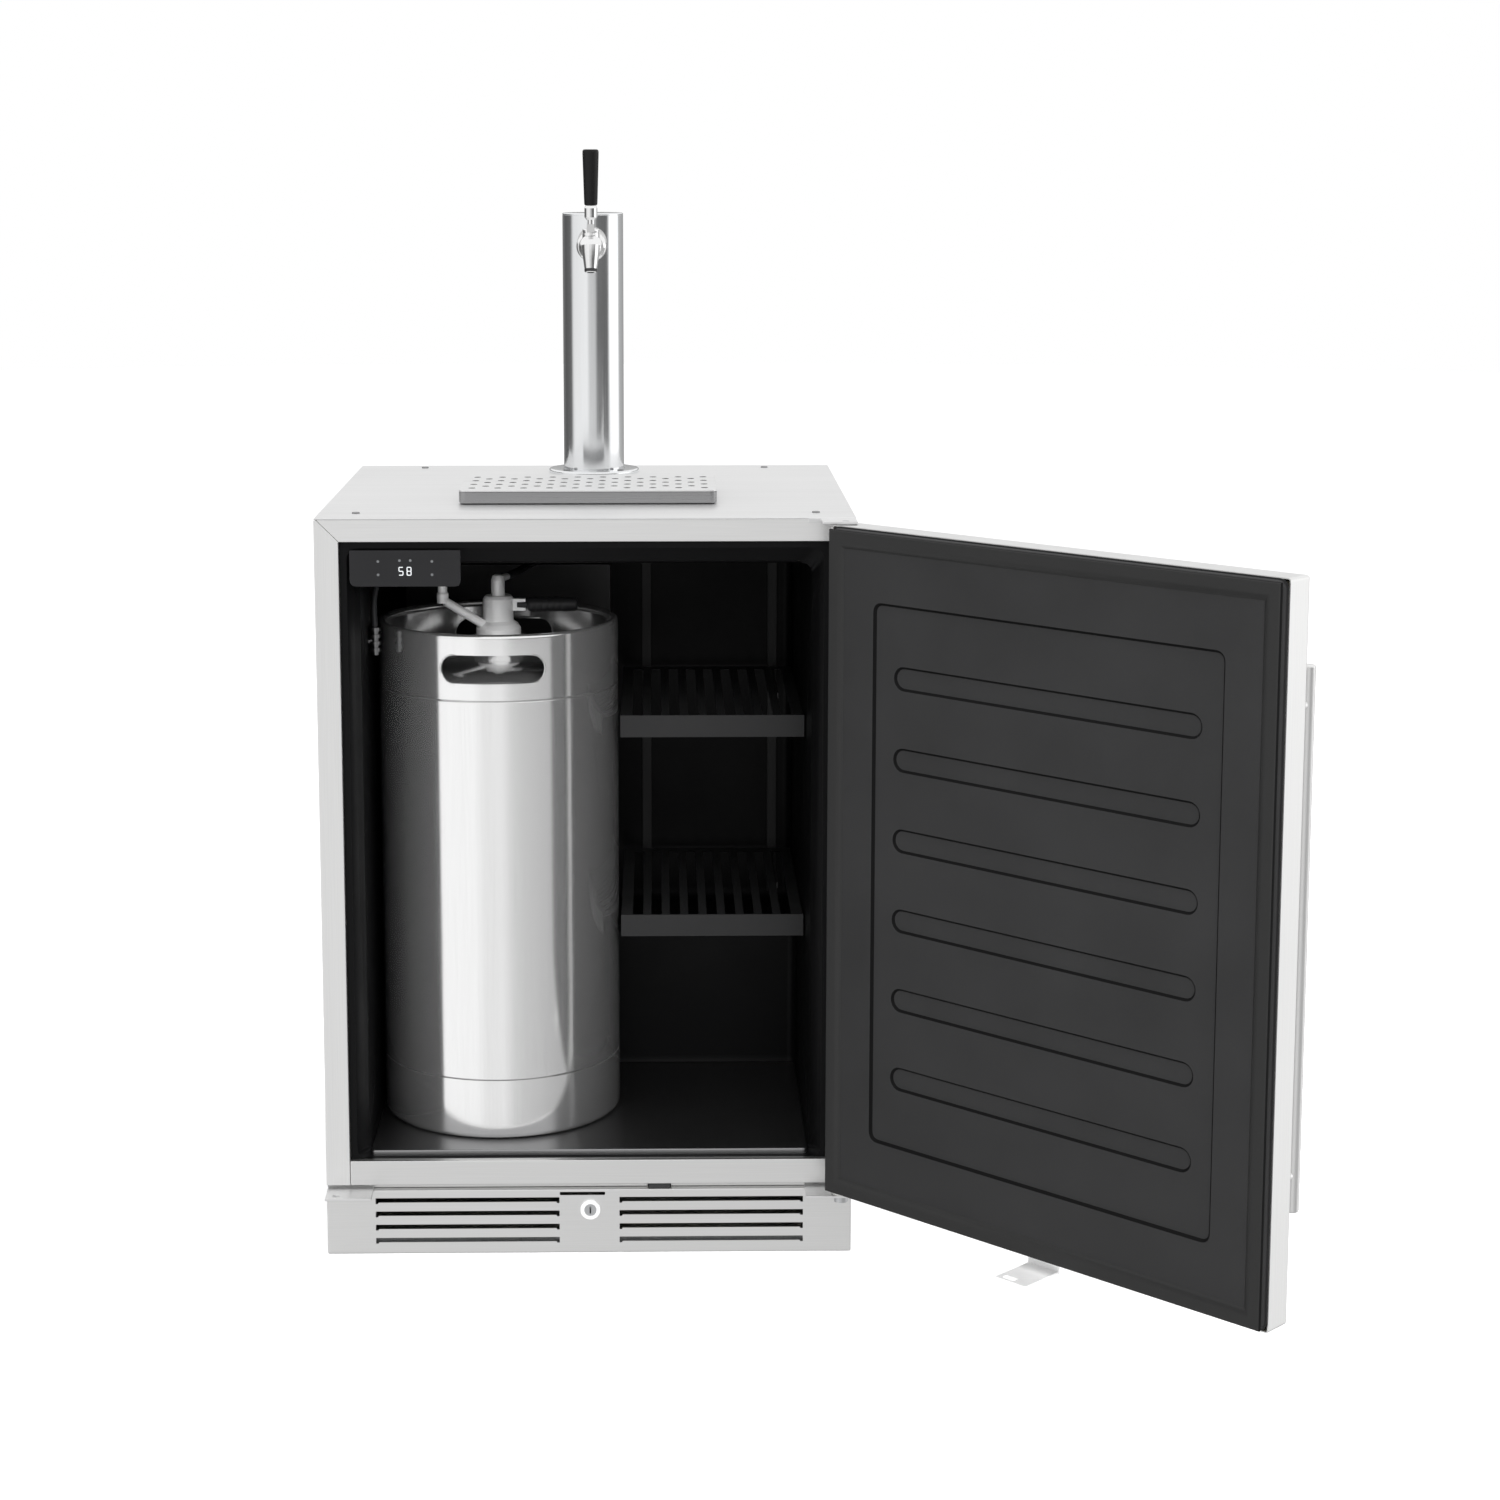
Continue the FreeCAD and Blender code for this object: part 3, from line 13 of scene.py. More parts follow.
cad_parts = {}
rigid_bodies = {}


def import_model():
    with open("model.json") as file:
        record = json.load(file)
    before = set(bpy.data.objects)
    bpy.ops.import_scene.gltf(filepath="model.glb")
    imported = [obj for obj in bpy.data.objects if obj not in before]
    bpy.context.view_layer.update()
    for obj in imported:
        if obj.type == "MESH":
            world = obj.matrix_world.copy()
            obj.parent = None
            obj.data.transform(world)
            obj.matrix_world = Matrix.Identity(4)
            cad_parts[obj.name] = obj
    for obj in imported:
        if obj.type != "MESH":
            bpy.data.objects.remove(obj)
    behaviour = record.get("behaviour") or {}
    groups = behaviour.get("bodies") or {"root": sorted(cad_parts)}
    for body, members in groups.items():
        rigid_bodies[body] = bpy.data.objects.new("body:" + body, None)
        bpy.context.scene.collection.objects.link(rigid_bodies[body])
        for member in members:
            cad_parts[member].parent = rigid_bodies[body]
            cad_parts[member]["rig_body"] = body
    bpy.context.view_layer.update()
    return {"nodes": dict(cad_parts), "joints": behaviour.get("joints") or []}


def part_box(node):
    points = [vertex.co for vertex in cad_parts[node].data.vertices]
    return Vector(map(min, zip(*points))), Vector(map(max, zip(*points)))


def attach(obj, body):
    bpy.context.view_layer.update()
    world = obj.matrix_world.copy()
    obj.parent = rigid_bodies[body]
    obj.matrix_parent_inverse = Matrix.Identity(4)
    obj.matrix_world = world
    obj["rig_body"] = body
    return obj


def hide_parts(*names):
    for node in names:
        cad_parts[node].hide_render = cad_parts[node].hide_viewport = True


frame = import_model()
nodes = frame["nodes"]
scene = bpy.context.scene
MM = 0.001


# ---- materials


class Finish:
    """A procedural material: one Principled shader and the nodes that feed it."""

    def __init__(self, name, colour, **sockets):
        self.material = bpy.data.materials.new(name)
        self.material.use_nodes = True
        self.tree = self.material.node_tree
        self.shader = self.tree.nodes["Principled BSDF"]
        self.shader.inputs["Base Color"].default_value = (*colour, 1)
        self.colour = colour
        for socket, value in sockets.items():
            self.shader.inputs[socket.replace("_", " ").title().replace("Ior", "IOR")].default_value = value
        self.place = self.add("ShaderNodeTexCoord").outputs["Object"]

    def add(self, kind, **values):
        node = self.tree.nodes.new(kind)
        for name, value in values.items():
            setattr(node, name, value)
        return node

    def link(self, source, target):
        self.tree.links.new(source, target)

    def noise(self, scale, stretch=(1, 1, 1), detail=3.0, turn=0.0):
        """Noise from 0 to 1 in the row frame, whose grain is scale per metre times stretch."""
        mapping = self.add("ShaderNodeMapping")
        mapping.inputs["Rotation"].default_value = (0, 0, turn)
        mapping.inputs["Scale"].default_value = stretch
        self.link(self.place, mapping.inputs["Vector"])
        if turn:
            stretched = self.add("ShaderNodeMapping")
            mapping.inputs["Scale"].default_value = (1, 1, 1)
            stretched.inputs["Scale"].default_value = stretch
            self.link(mapping.outputs["Vector"], stretched.inputs["Vector"])
            mapping = stretched
        texture = self.add("ShaderNodeTexNoise")
        texture.inputs["Scale"].default_value = scale
        texture.inputs["Detail"].default_value = detail
        self.link(mapping.outputs["Vector"], texture.inputs["Vector"])
        return texture.outputs["Fac"]

    def span(self, source, low, high):
        """Noise, most of which lies from 0.3 to 0.7, remapped to low to high."""
        remap = self.add("ShaderNodeMapRange")
        for socket, value in (("From Min", 0.3), ("From Max", 0.7), ("To Min", low), ("To Max", high)):
            remap.inputs[socket].default_value = value
        self.link(source, remap.inputs["Value"])
        return remap.outputs["Result"]

    def maths(self, operation, first, second):
        node = self.add("ShaderNodeMath", operation=operation)
        for socket, value in zip(node.inputs, (first, second)):
            if isinstance(value, (int, float)):
                socket.default_value = value
            else:
                self.link(value, socket)
        return node.outputs["Value"]

    def tint(self, factor, dark, light):
        """Base colour between dark and light times the finish's own colour."""
        mix = self.add("ShaderNodeMix", data_type="RGBA")
        mix.inputs["A"].default_value = (*(c * dark for c in self.colour), 1)
        mix.inputs["B"].default_value = (*(min(1, c * light) for c in self.colour), 1)
        self.link(factor, mix.inputs["Factor"])
        self.link(mix.outputs["Result"], self.shader.inputs["Base Color"])

    def roughen(self, factor, low, high):
        self.link(self.span(factor, low, high), self.shader.inputs["Roughness"])

    def bump(self, height, strength, depth):
        node = self.add("ShaderNodeBump")
        node.inputs["Strength"].default_value = strength
        node.inputs["Distance"].default_value = depth
        self.link(height, node.inputs["Height"])
        self.link(node.outputs["Normal"], self.shader.inputs["Normal"])


def brushed(name, colour, along, roughness, streak=0.05, metallic=1.0, relief=0.12, turn=0.0):
    """Brushed sheet: fine and broad streaks along one axis, cloudy patches over them."""
    finish = Finish(name, colour, metallic=metallic, roughness=roughness)
    across = {"X": (0.012, 1, 1), "Y": (1, 0.012, 1), "Z": (1, 1, 0.012)}[along]
    fine = finish.noise(900, across, 2, turn)
    broad = finish.noise(60, across, 3, turn)
    cloud = finish.noise(5, (1, 1, 1), 2)
    streaks = finish.maths("ADD", finish.maths("MULTIPLY", fine, 0.6), finish.maths("MULTIPLY", broad, 0.4))
    finish.tint(finish.span(streaks, 0, 1), 1 - streak, 1 + streak * 0.5)
    fixed, drifting = finish.maths("MULTIPLY", streaks, 0.7), finish.maths("MULTIPLY", cloud, 0.3)
    mottled = finish.maths("ADD", fixed, drifting)
    finish.roughen(mottled, roughness - 0.05, roughness + 0.07)
    finish.bump(fine, relief, 0.00008)
    return finish.material


def moulded(name, colour, roughness, specular=0.5, depth=0.00006):
    """Moulded plastic or rubber: a fine grain and faint cloudy wear."""
    finish = Finish(name, colour, roughness=roughness, specular_ior_level=specular)
    fine = finish.noise(1400, detail=2)
    cloud = finish.noise(9, detail=4)
    finish.tint(finish.span(cloud, 0, 1), 0.86, 1.12)
    finish.roughen(cloud, roughness - 0.06, roughness + 0.08)
    finish.bump(fine, 0.35, depth)
    return finish.material


# Name, colour, way of the streaks and roughness; then the streaks' contrast, metallic, relief and turn.
BRUSHED = (
    ("frame_upright", (0.92, 0.92, 0.915), "Z", 0.36),
    ("frame_top", (0.92, 0.92, 0.915), "X", 0.36),
    ("frame_level", (0.82, 0.82, 0.815), "X", 0.36),
    ("door_steel", (0.87, 0.87, 0.865), "Z", 0.34, 0.05, 1, 0.12, -math.radians(135)),
    ("casing_level", (0.86, 0.86, 0.86), "X", 0.4),
    ("casing_side", (0.66, 0.66, 0.665), "Z", 0.42),
    ("tower_steel", (0.86, 0.87, 0.88), "Z", 0.13, 0.03),
    ("keg_steel", (0.86, 0.86, 0.86), "Z", 0.12, 0.04, 0.9, 0.03),
    ("chrome", (0.9, 0.9, 0.9), "X", 0.12, 0.02),
    ("brass", (0.78, 0.56, 0.25), "X", 0.25),
    ("galvanised", (0.62, 0.63, 0.64), "Z", 0.45, 0.1),
    ("floor_steel", (0.34, 0.34, 0.345), "X", 0.34),
    ("tray_steel", (0.36, 0.36, 0.365), "X", 0.28),
    # Near-black steel for the tray's inside and the walls of the grid's holes: painted shade.
    ("tray_inside", (0.07, 0.07, 0.072), "X", 0.4),
    ("screw_steel", (0.3, 0.3, 0.305), "X", 0.3),
    ("satin", (0.95, 0.95, 0.95), "X", 0.35, 0.05, 0.25),
    ("fins", (0.7, 0.7, 0.7), "Z", 0.4, 0.1),
)
# Name, colour and roughness; then specular level and depth of grain.
MOULDED = (
    ("black_plastic", (0.016, 0.016, 0.017), 0.38),
    ("grip", (0.004, 0.004, 0.0042), 0.42, 0.25),
    ("gloss_plastic", (0.01, 0.01, 0.011), 0.18, 0.3, 0.00001),
    ("mark", (0.12, 0.125, 0.13), 0.4),
    ("liner", (0.003, 0.003, 0.0033), 0.42, 0.12),
    ("panel", (0.018, 0.018, 0.0185), 0.5, 0.3),
    ("rubber", (0.01, 0.01, 0.01), 0.6),
    ("hose", (0.02, 0.02, 0.022), 0.32),
    ("nylon", (0.5, 0.5, 0.48), 0.45),
    ("foam", (0.74, 0.7, 0.58), 0.8),
    ("shelf", (0.016, 0.016, 0.0165), 0.45, 0.3),
    # Near-black for the sunk walls of the door's inner panel and the gasket's outer sides: painted shade.
    ("recess", (0.0035, 0.0035, 0.0036), 0.6, 0.1),
    ("machine", (0.014, 0.014, 0.015), 0.35),
    ("lens", (0.7, 0.72, 0.74), 0.2),
)
MATERIALS = {name: brushed(name, *looks) for name, *looks in BRUSHED}
MATERIALS.update((name, moulded(name, *looks)) for name, *looks in MOULDED)


# ---- shapes


def opened_by(joint_name):
    """The turn that takes a piece from a joint's far limit to where it rests."""
    joint = next(j for j in frame["joints"] if j["name"] == joint_name)
    pivot = Matrix.Translation(joint["pos_m"])
    turn = Matrix.Rotation(-math.radians(joint["range_deg"][0]), 4, joint["axis"])
    return pivot @ turn @ pivot.inverted()


DOOR_OPEN = opened_by("door_hinge")


def placed(name, data):
    """A new object of the scene."""
    made = bpy.data.objects.new(name, data)
    scene.collection.objects.link(made)
    return made


def span(node):
    """A node's lowest and highest corners; a door node's are those of its closed place."""
    if nodes[node]["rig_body"] != "door":
        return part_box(node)
    closed = DOOR_OPEN.inverted()
    places = [closed @ vertex.co for vertex in nodes[node].data.vertices]
    low, high = (Vector([most(place[axis] for place in places) for axis in range(3)]) for most in (min, max))
    return low, high


def axis_of(low, high):
    """Where a round upright piece's own axis stands."""
    return ((low.x + high.x) / 2, (low.y + high.y) / 2, 0)


def within(radius, level, *steps):
    """Profile points, each given as how far it lies inside the radius and above the level."""
    return [(radius - inset, level + rise) for inset, rise in steps]


def arc(centre, radius, start, end, steps):
    """Points along an arc, in degrees, both ends included."""
    angles = [math.radians(start + (end - start) * step / steps) for step in range(steps + 1)]
    return [(centre[0] + radius * math.cos(a), centre[1] + radius * math.sin(a)) for a in angles]


def rounded(corners, radius, steps=5):
    """An outline's corners, each turned into an arc; a corner may carry its own radius."""
    points = []
    for index, corner in enumerate(corners):
        here = Vector(corner[:2])
        before = Vector(corners[index - 1][:2]) - here
        after = Vector(corners[(index + 1) % len(corners)][:2]) - here
        size = corner[2] if len(corner) > 2 else radius
        turn = before.angle(after)
        reach = min(size / math.tan(turn / 2), 0.49 * before.length, 0.49 * after.length) if size else 0
        if reach < 1e-7 or turn > math.pi - 1e-3:
            points.append(tuple(here))
            continue
        first, last = here + before.normalized() * reach, here + after.normalized() * reach
        for step in range(steps + 1):
            share = step / steps
            bend = first.lerp(here, share).lerp(here.lerp(last, share), share)
            points.append(tuple(bend))
    return points


def shape(points):
    """An outline as a function of how far it is drawn in; its points run anticlockwise."""
    def drawn_in(inset):
        if not inset:
            return points
        moved = []
        for last, here, following in zip(points[-1:] + points[:-1], points, points[1:] + points[:1]):
            here = Vector(here)
            before, after = (here - Vector(last)).normalized(), (Vector(following) - here).normalized()
            sides = Vector((-before.y, before.x)), Vector((-after.y, after.x))
            middle = (sides[0] + sides[1]).normalized()
            moved.append(tuple(here + middle * inset / max(0.35, middle.dot(sides[0]))))
        return moved

    return drawn_in


def rectangle(low, high, radius=0.0, steps=5):
    corners = [(low[0], low[1]), (high[0], low[1]), (high[0], high[1]), (low[0], high[1])]
    return shape(rounded(corners, radius, steps))


def circle(centre, radius, steps=32):
    return shape(arc(centre, radius, 0, 360, steps)[:-1])


def capsule(left, right, level, radius, steps=10):
    """A long slot with round ends."""
    return shape(arc((right, level), radius, -90, 90, steps) + arc((left, level), radius, 90, 270, steps))


def facing(axis, level):
    """Where a flat piece's outline and depth go: its face looks along the axis at that level."""
    sign = -1 if axis[0] == "-" else 1
    return {
        "x": lambda u, v, d: Vector((level - sign * d, u, v)),
        "y": lambda u, v, d: Vector((u, level - sign * d, v)),
        "z": lambda u, v, d: Vector((u, v, level - sign * d)),
    }[axis[1]]


class Sheet:
    """A closed body of stacked loops: stacks join outline to outline, fields fill the flats."""

    def __init__(self, place):
        self.mesh = bmesh.new()
        self.place = place

    def stack(self, outline, profile, closed=False):
        """Loops of one outline, one for each (inset, depth), joined in turn."""
        loops = []
        for inset, depth in profile:
            points = outline(inset)
            loops.append([self.mesh.verts.new(self.place(u, v, depth)) for u, v in points])
        pairs = list(zip(loops, loops[1:])) + ([(loops[-1], loops[0])] if closed else [])
        for one, other in pairs:
            self.bridge(one, other)
        return loops[0], loops[-1]

    def bridge(self, one, other):
        for corners in zip(one, one[1:] + one[:1], other[1:] + other[:1], other):
            self.mesh.faces.new(corners)

    def field(self, *loops):
        """A flat field inside the first loop, open where the others are."""
        edges = []
        for loop in loops:
            for ends in zip(loop, loop[1:] + loop[:1]):
                edges.append(self.mesh.edges.get(ends) or self.mesh.edges.new(ends))
        bmesh.ops.triangle_fill(self.mesh, edges=edges, use_beauty=True)

    def finish(self, name):
        bmesh.ops.remove_doubles(self.mesh, verts=self.mesh.verts, dist=1e-6)
        bmesh.ops.recalc_face_normals(self.mesh, faces=self.mesh.faces)
        made = bpy.data.meshes.new(name)
        self.mesh.to_mesh(made)
        self.mesh.free()
        return made


def softened(size, depth=0.0):
    """A rounded edge's profile, from the face down to the side."""
    return [(size * (1 - math.sin(a)), depth + size * (1 - math.cos(a))) for a in (0, 0.5, 1.05, math.pi / 2)]


def plate(name, outline, thickness, place, edge=0.0005, holes=()):
    """A flat plate with softened edges and softened holes."""
    sheet = Sheet(place)
    front = softened(edge)
    back = [(inset, thickness - depth) for inset, depth in reversed(front)]
    outer_front, outer_back = sheet.stack(outline, front + back)
    rims = [sheet.stack(hole, [(-inset, depth) for inset, depth in front + back]) for hole in holes]
    sheet.field(outer_front, *(rim[0] for rim in rims))
    sheet.field(outer_back, *(rim[1] for rim in rims))
    return sheet.finish(name)


def pan(name, outline, depth, gauge, place, edge=0.0012, holes=()):
    """A folded tray: a face with holes, and a rim turned back all round it."""
    sheet = Sheet(place)
    front, back = sheet.stack(outline, softened(edge) + [(0, depth), (gauge, depth), (gauge, gauge)])
    openings = [sheet.stack(hole, [(0, 0), (0, gauge)]) for hole in holes]
    sheet.field(front, *(opening[0] for opening in openings))
    sheet.field(back, *(opening[1] for opening in openings))
    return sheet.finish(name)


def solid(operation, mesh, *others):
    """The mesh joined with other meshes, or with them cut out of it."""
    body = placed("body", mesh)
    tools = [placed("tool", other) for other in others]
    for tool in tools:
        step = body.modifiers.new("step", "BOOLEAN")
        step.operation = operation
        step.solver = "EXACT"
        step.object = tool
    bpy.context.view_layer.update()
    made = bpy.data.meshes.new_from_object(body.evaluated_get(bpy.context.evaluated_depsgraph_get()))
    for spent in [body] + tools:
        old = spent.data
        bpy.data.objects.remove(spent)
        bpy.data.meshes.remove(old)
    return made


def lathe(name, profile, centre, axis="z", steps=64):
    """A profile of (radius, level) turned about an axis through a centre; its ends may be on the axis."""
    work = bmesh.new()
    turned = {
        "z": lambda r, a, t: (r * math.cos(a), r * math.sin(a), t),
        "y": lambda r, a, t: (r * math.cos(a), t, r * math.sin(a)),
        "x": lambda r, a, t: (t, r * math.cos(a), r * math.sin(a)),
    }[axis]
    rings = []
    for radius, level in profile:
        if radius < 1e-6:
            rings.append([work.verts.new(Vector(centre) + Vector(turned(0, 0, level)))])
            continue
        angles = [2 * math.pi * step / steps for step in range(steps)]
        rings.append([work.verts.new(Vector(centre) + Vector(turned(radius, a, level))) for a in angles])
    closed = len(rings[0]) > 1 and len(rings[-1]) > 1
    pairs = list(zip(rings, rings[1:])) + ([(rings[-1], rings[0])] if closed else [])
    for one, other in pairs:
        for step in range(steps):
            after = (step + 1) % steps
            corners = (one[step % len(one)], one[after % len(one)],
                       other[after % len(other)], other[step % len(other)])
            work.faces.new(list(dict.fromkeys(corners)))
    bmesh.ops.recalc_face_normals(work, faces=work.faces)
    made = bpy.data.meshes.new(name)
    work.to_mesh(made)
    work.free()
    return made


def rod(name, radius, start, stop, centre, axis="z", steps=40):
    """A plain round cutter from start to stop along the axis."""
    return lathe(name, [(0, start), (radius, start), (radius, stop), (0, stop)], centre, axis, steps)


def joined(name, meshes):
    """Several meshes as one piece."""
    work = bmesh.new()
    for mesh in meshes:
        work.from_mesh(mesh)
        bpy.data.meshes.remove(mesh)
    made = bpy.data.meshes.new(name)
    work.to_mesh(made)
    work.free()
    return made


def paint(mesh, index):
    """Gives the whole mesh one of its piece's materials."""
    mesh.polygons.foreach_set("material_index", [index] * len(mesh.polygons))


def stand_for(mesh, finish, node, angle=40, extra=()):
    """Puts a finished mesh in the scene in place of a CAD node, on its body."""
    for name in (finish, *extra):
        mesh.materials.append(MATERIALS[name])
    mesh.polygons.foreach_set("use_smooth", [True] * len(mesh.polygons))
    mesh.set_sharp_from_angle(angle=math.radians(angle))
    body = nodes[node]["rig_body"]
    if body == "door":
        mesh.transform(DOOR_OPEN)
    piece = placed(mesh.name, mesh)
    weighted = piece.modifiers.new("flats", "WEIGHTED_NORMAL")
    weighted.keep_sharp = True
    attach(piece, body)
    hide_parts(node)


# ---- frame and casing

TOWER = (0, 0.2025)


def make_frame_members():
    """Stiles and rails with softened edges, mitred at the top corners; lips behind the bottom rail."""
    low, high = span("frame_stile_left")
    outer, inner = -low.x, -high.x
    top_low, top_high = span("frame_top_rail")
    slant = inner + (top_high.z - top_low.z)
    front = facing("-y", low.y)
    thick = high.y - low.y
    for name, sign in (("frame_stile_left", -1), ("frame_stile_right", 1)):
        corners = [(sign * across, level) for across, level in (
            (inner, low.z), (outer, low.z), (outer, top_high.z), (slant, top_high.z), (inner, top_low.z))]
        outline = shape(rounded(corners if sign > 0 else corners[::-1], 0.0012, 3))
        stand_for(plate(name + "_made", outline, thick, front, 0.0009), "frame_upright", name)
    gap = 0.0003
    corners = [(-inner + gap, top_low.z), (inner - gap, top_low.z),
               (slant - gap, top_high.z), (gap - slant, top_high.z)]
    outline = shape(rounded(corners, 0.0008, 3))
    stand_for(plate("frame_top_made", outline, thick, front, 0.0009), "frame_top", "frame_top_rail")
    low, high = span("frame_bottom_rail")
    outline = rectangle((low.x + gap, low.z), (high.x - gap, high.z), 0.0012, 3)
    rail = plate("rail", outline, thick, front, 0.0012)
    switch_low, switch_high = span("door_switch")
    brackets_top = span("lower_hinge_brackets")[1].z + 0.0004
    reach, inside, foot = outer - 0.002, inner - 0.016, low.z - 0.0055
    behind = facing("-y", high.y - 0.001)
    lips = [plate("lip", rectangle((left, base), (right, low.z + 0.0005), 0.0002, 2), 0.0009, behind, 0.0002)
            for left, right, base in (
                (-inside, switch_low.x - 0.001, foot), (switch_high.x + 0.001, inside, foot),
                (-reach, -inside, brackets_top), (inside, reach, brackets_top))]
    stand_for(joined("frame_bottom_made", [rail] + lips), "frame_level", "frame_bottom_rail")


SLIT_ROWS, FIRST_SLIT_TOP, SLIT_PITCH = 4, 0.0189, 0.0159
SLIT_START, SLIT_END, SLIT_HEIGHT, SLIT_HOOK = 0.0345, 0.246, 0.0053, 0.0016


def slit(left, right, top):
    """A louvre slit with its ends turned down."""
    arm, under = 0.0032, top - SLIT_HEIGHT
    corners = [
        (left, under - SLIT_HOOK), (left + arm, under - SLIT_HOOK), (left + arm, under), (right - arm, under),
        (right - arm, under - SLIT_HOOK), (right, under - SLIT_HOOK), (right, top), (left, top),
    ]
    return shape(rounded(corners, 0.0007, 3))


def make_kick_plate():
    """The folded kick plate: two banks of slits, the lock's hole and the slot for the door's strike."""
    low, high = span("kick_plate")
    holes = []
    for row in range(SLIT_ROWS):
        top = FIRST_SLIT_TOP + SLIT_PITCH * row
        holes += [slit(-SLIT_END, -SLIT_START, top), slit(SLIT_START, SLIT_END, top)]
    strike_low, strike_high = span("lock_strike")
    holes += [circle((0.001, 0.052), 0.0096, 40), rectangle(
        (strike_low.x - 0.008, strike_low.z - 0.0004), (strike_high.x + 0.003, strike_low.z + 0.0034), 0.001)]
    outline = rectangle(low.xz, high.xz, 0.0015, 3)
    mesh = pan("kick_made", outline, high.y - low.y, 0.0012, facing("-y", low.y), 0.0014, holes)
    stand_for(mesh, "frame_level", "kick_plate")


def make_casing():
    """The top panel, open under the tower, and both side panels."""
    low, high = span("top_panel")
    outline = rectangle(low.xy, high.xy, 0.003)
    hole = circle(TOWER, 0.02, 32)
    mesh = plate("top_made", outline, high.z - low.z, facing("+z", high.z), 0.0006, [hole])
    stand_for(mesh, "casing_level", "top_panel")
    for name, face in (("side_panel_left", "-x"), ("side_panel_right", "+x")):
        low, high = span(name)
        outline = rectangle(low.yz, high.yz, 0.002, 3)
        place = facing(face, low.x if face == "-x" else high.x)
        stand_for(plate(name + "_made", outline, high.x - low.x, place, 0.0004), "casing_side", name)


# ---- cavity

CAVITY_HALF, CAVITY_FLOOR, CAVITY_TOP, CAVITY_BACK = 0.254, 0.11, 0.8, 0.225
STEP_FRONT, STEP_TOP = 0.0735, 0.29
MOUTH_HALF, MOUTH_TOP, MOUTH_DEPTH = 0.2665, 0.8195, 0.016
LINER_WALL = 0.002


def make_liner():
    """The moulded liner: rounded inside, stepped over the compressor, flared at its mouth."""
    low, high = span("inner_liner")
    mouth = low.y

    def prism(margin, front):
        """The cavity's side outline, that much larger all round, carried right across it."""
        floor, ceiling = CAVITY_FLOOR - margin, CAVITY_TOP + margin
        riser, tread, back = STEP_FRONT + margin, STEP_TOP - margin, CAVITY_BACK + margin
        corners = [
            (front, floor), (riser, floor), (riser, tread), (back, tread), (back, ceiling), (front, ceiling),
        ]
        width = 2 * (CAVITY_HALF + margin)
        ends = softened(0.012)
        sheet = Sheet(lambda u, v, d: Vector((d - width / 2, u, v)))
        loops = sheet.stack(shape(rounded(corners, 0.016, 6)),
                            ends + [(inset, width - depth) for inset, depth in reversed(ends)])
        for loop in loops:
            sheet.field(loop)
        return sheet.finish("prism")

    surround = rectangle(low.xz, high.xz, 0.004)
    flange = plate("flange", surround, MOUTH_DEPTH, facing("-y", mouth), 0.0006)
    flare = Sheet(facing("-y", mouth))
    wide = rectangle((-MOUTH_HALF, CAVITY_FLOOR), (MOUTH_HALF, MOUTH_TOP), 0.014)
    narrow = rectangle((-CAVITY_HALF, CAVITY_FLOOR), (CAVITY_HALF, CAVITY_TOP), 0.014)
    loops = [flare.stack(outline, [(0, depth)])[0]
             for outline, depth in ((wide, -0.002), (wide, 0.0015), (narrow, MOUTH_DEPTH + 0.002))]
    flare.bridge(loops[0], loops[1])
    flare.bridge(loops[1], loops[2])
    flare.field(loops[0])
    flare.field(loops[2])
    body = solid("UNION", prism(LINER_WALL, mouth + 0.0005), flange)
    mesh = solid("DIFFERENCE", body, prism(0, mouth - 0.02), flare.finish("flare"))
    mesh.name = "liner_made"
    stand_for(mesh, "liner", "inner_liner", angle=50)


def make_insulation():
    """The foam between liner and casing, kept back from the mouth."""
    low, high = span("wall_insulation")
    front, rear = low.y + MOUTH_DEPTH + 0.004, high.y - 0.001
    beside, above = CAVITY_HALF + LINER_WALL + 0.0008, CAVITY_TOP + LINER_WALL + 0.0008
    under = CAVITY_FLOOR - LINER_WALL - 0.0008
    behind, riser, tread = CAVITY_BACK + 0.004, STEP_FRONT + 0.004, STEP_TOP - 0.004
    slabs = []
    for left, right, ahead, back, base, top in (
        (-high.x, -beside, front, rear, low.z, above), (beside, high.x, front, rear, low.z, above),
        (-high.x, high.x, front, rear, above + 0.0005, high.z),
        (-beside, beside, front, riser, low.z + 0.0005, under),
        (-beside, beside, behind, rear, tread + 0.0005, above),
        (-beside, beside, riser, rear, tread - 0.0375, tread),
    ):
        outline = rectangle((left, ahead), (right, back), 0.003)
        slabs.append(plate("slab", outline, top - base, facing("+z", top), 0.001))
    beer_duct = rod("duct", 0.0125, 0.79, 0.86, (*TOWER, 0), steps=32)
    mesh = solid("DIFFERENCE", joined("slabs", slabs), beer_duct)
    mesh.name = "wall_insulation_made"
    stand_for(mesh, "foam", "wall_insulation")


def make_floor_plate():
    low, high = span("floor_plate")
    outline = rectangle(low.xy, high.xy, 0.006)
    mesh = pan("floor_plate_made", outline, high.z - low.z, 0.0015, facing("+z", high.z), 0.0018)
    stand_for(mesh, "floor_steel", "floor_plate")


# Each bar of a digit: how many half-bars it lies across and above the digit's middle.
DIGIT_BARS = {"a": (0, 2), "b": (1, 1), "c": (1, -1), "d": (0, -2), "e": (-1, -1), "f": (-1, 1), "g": (0, 0)}
SHOWN = ("acdfg", "abcdefg")
DIGIT_PITCH, HALF_BAR = 0.009, 0.0022
MARKS = ((-0.03, 0.008), (-0.03, -0.007), (-0.006, 0.009), (0.006, 0.009), (0.03, 0.008), (0.03, -0.007))


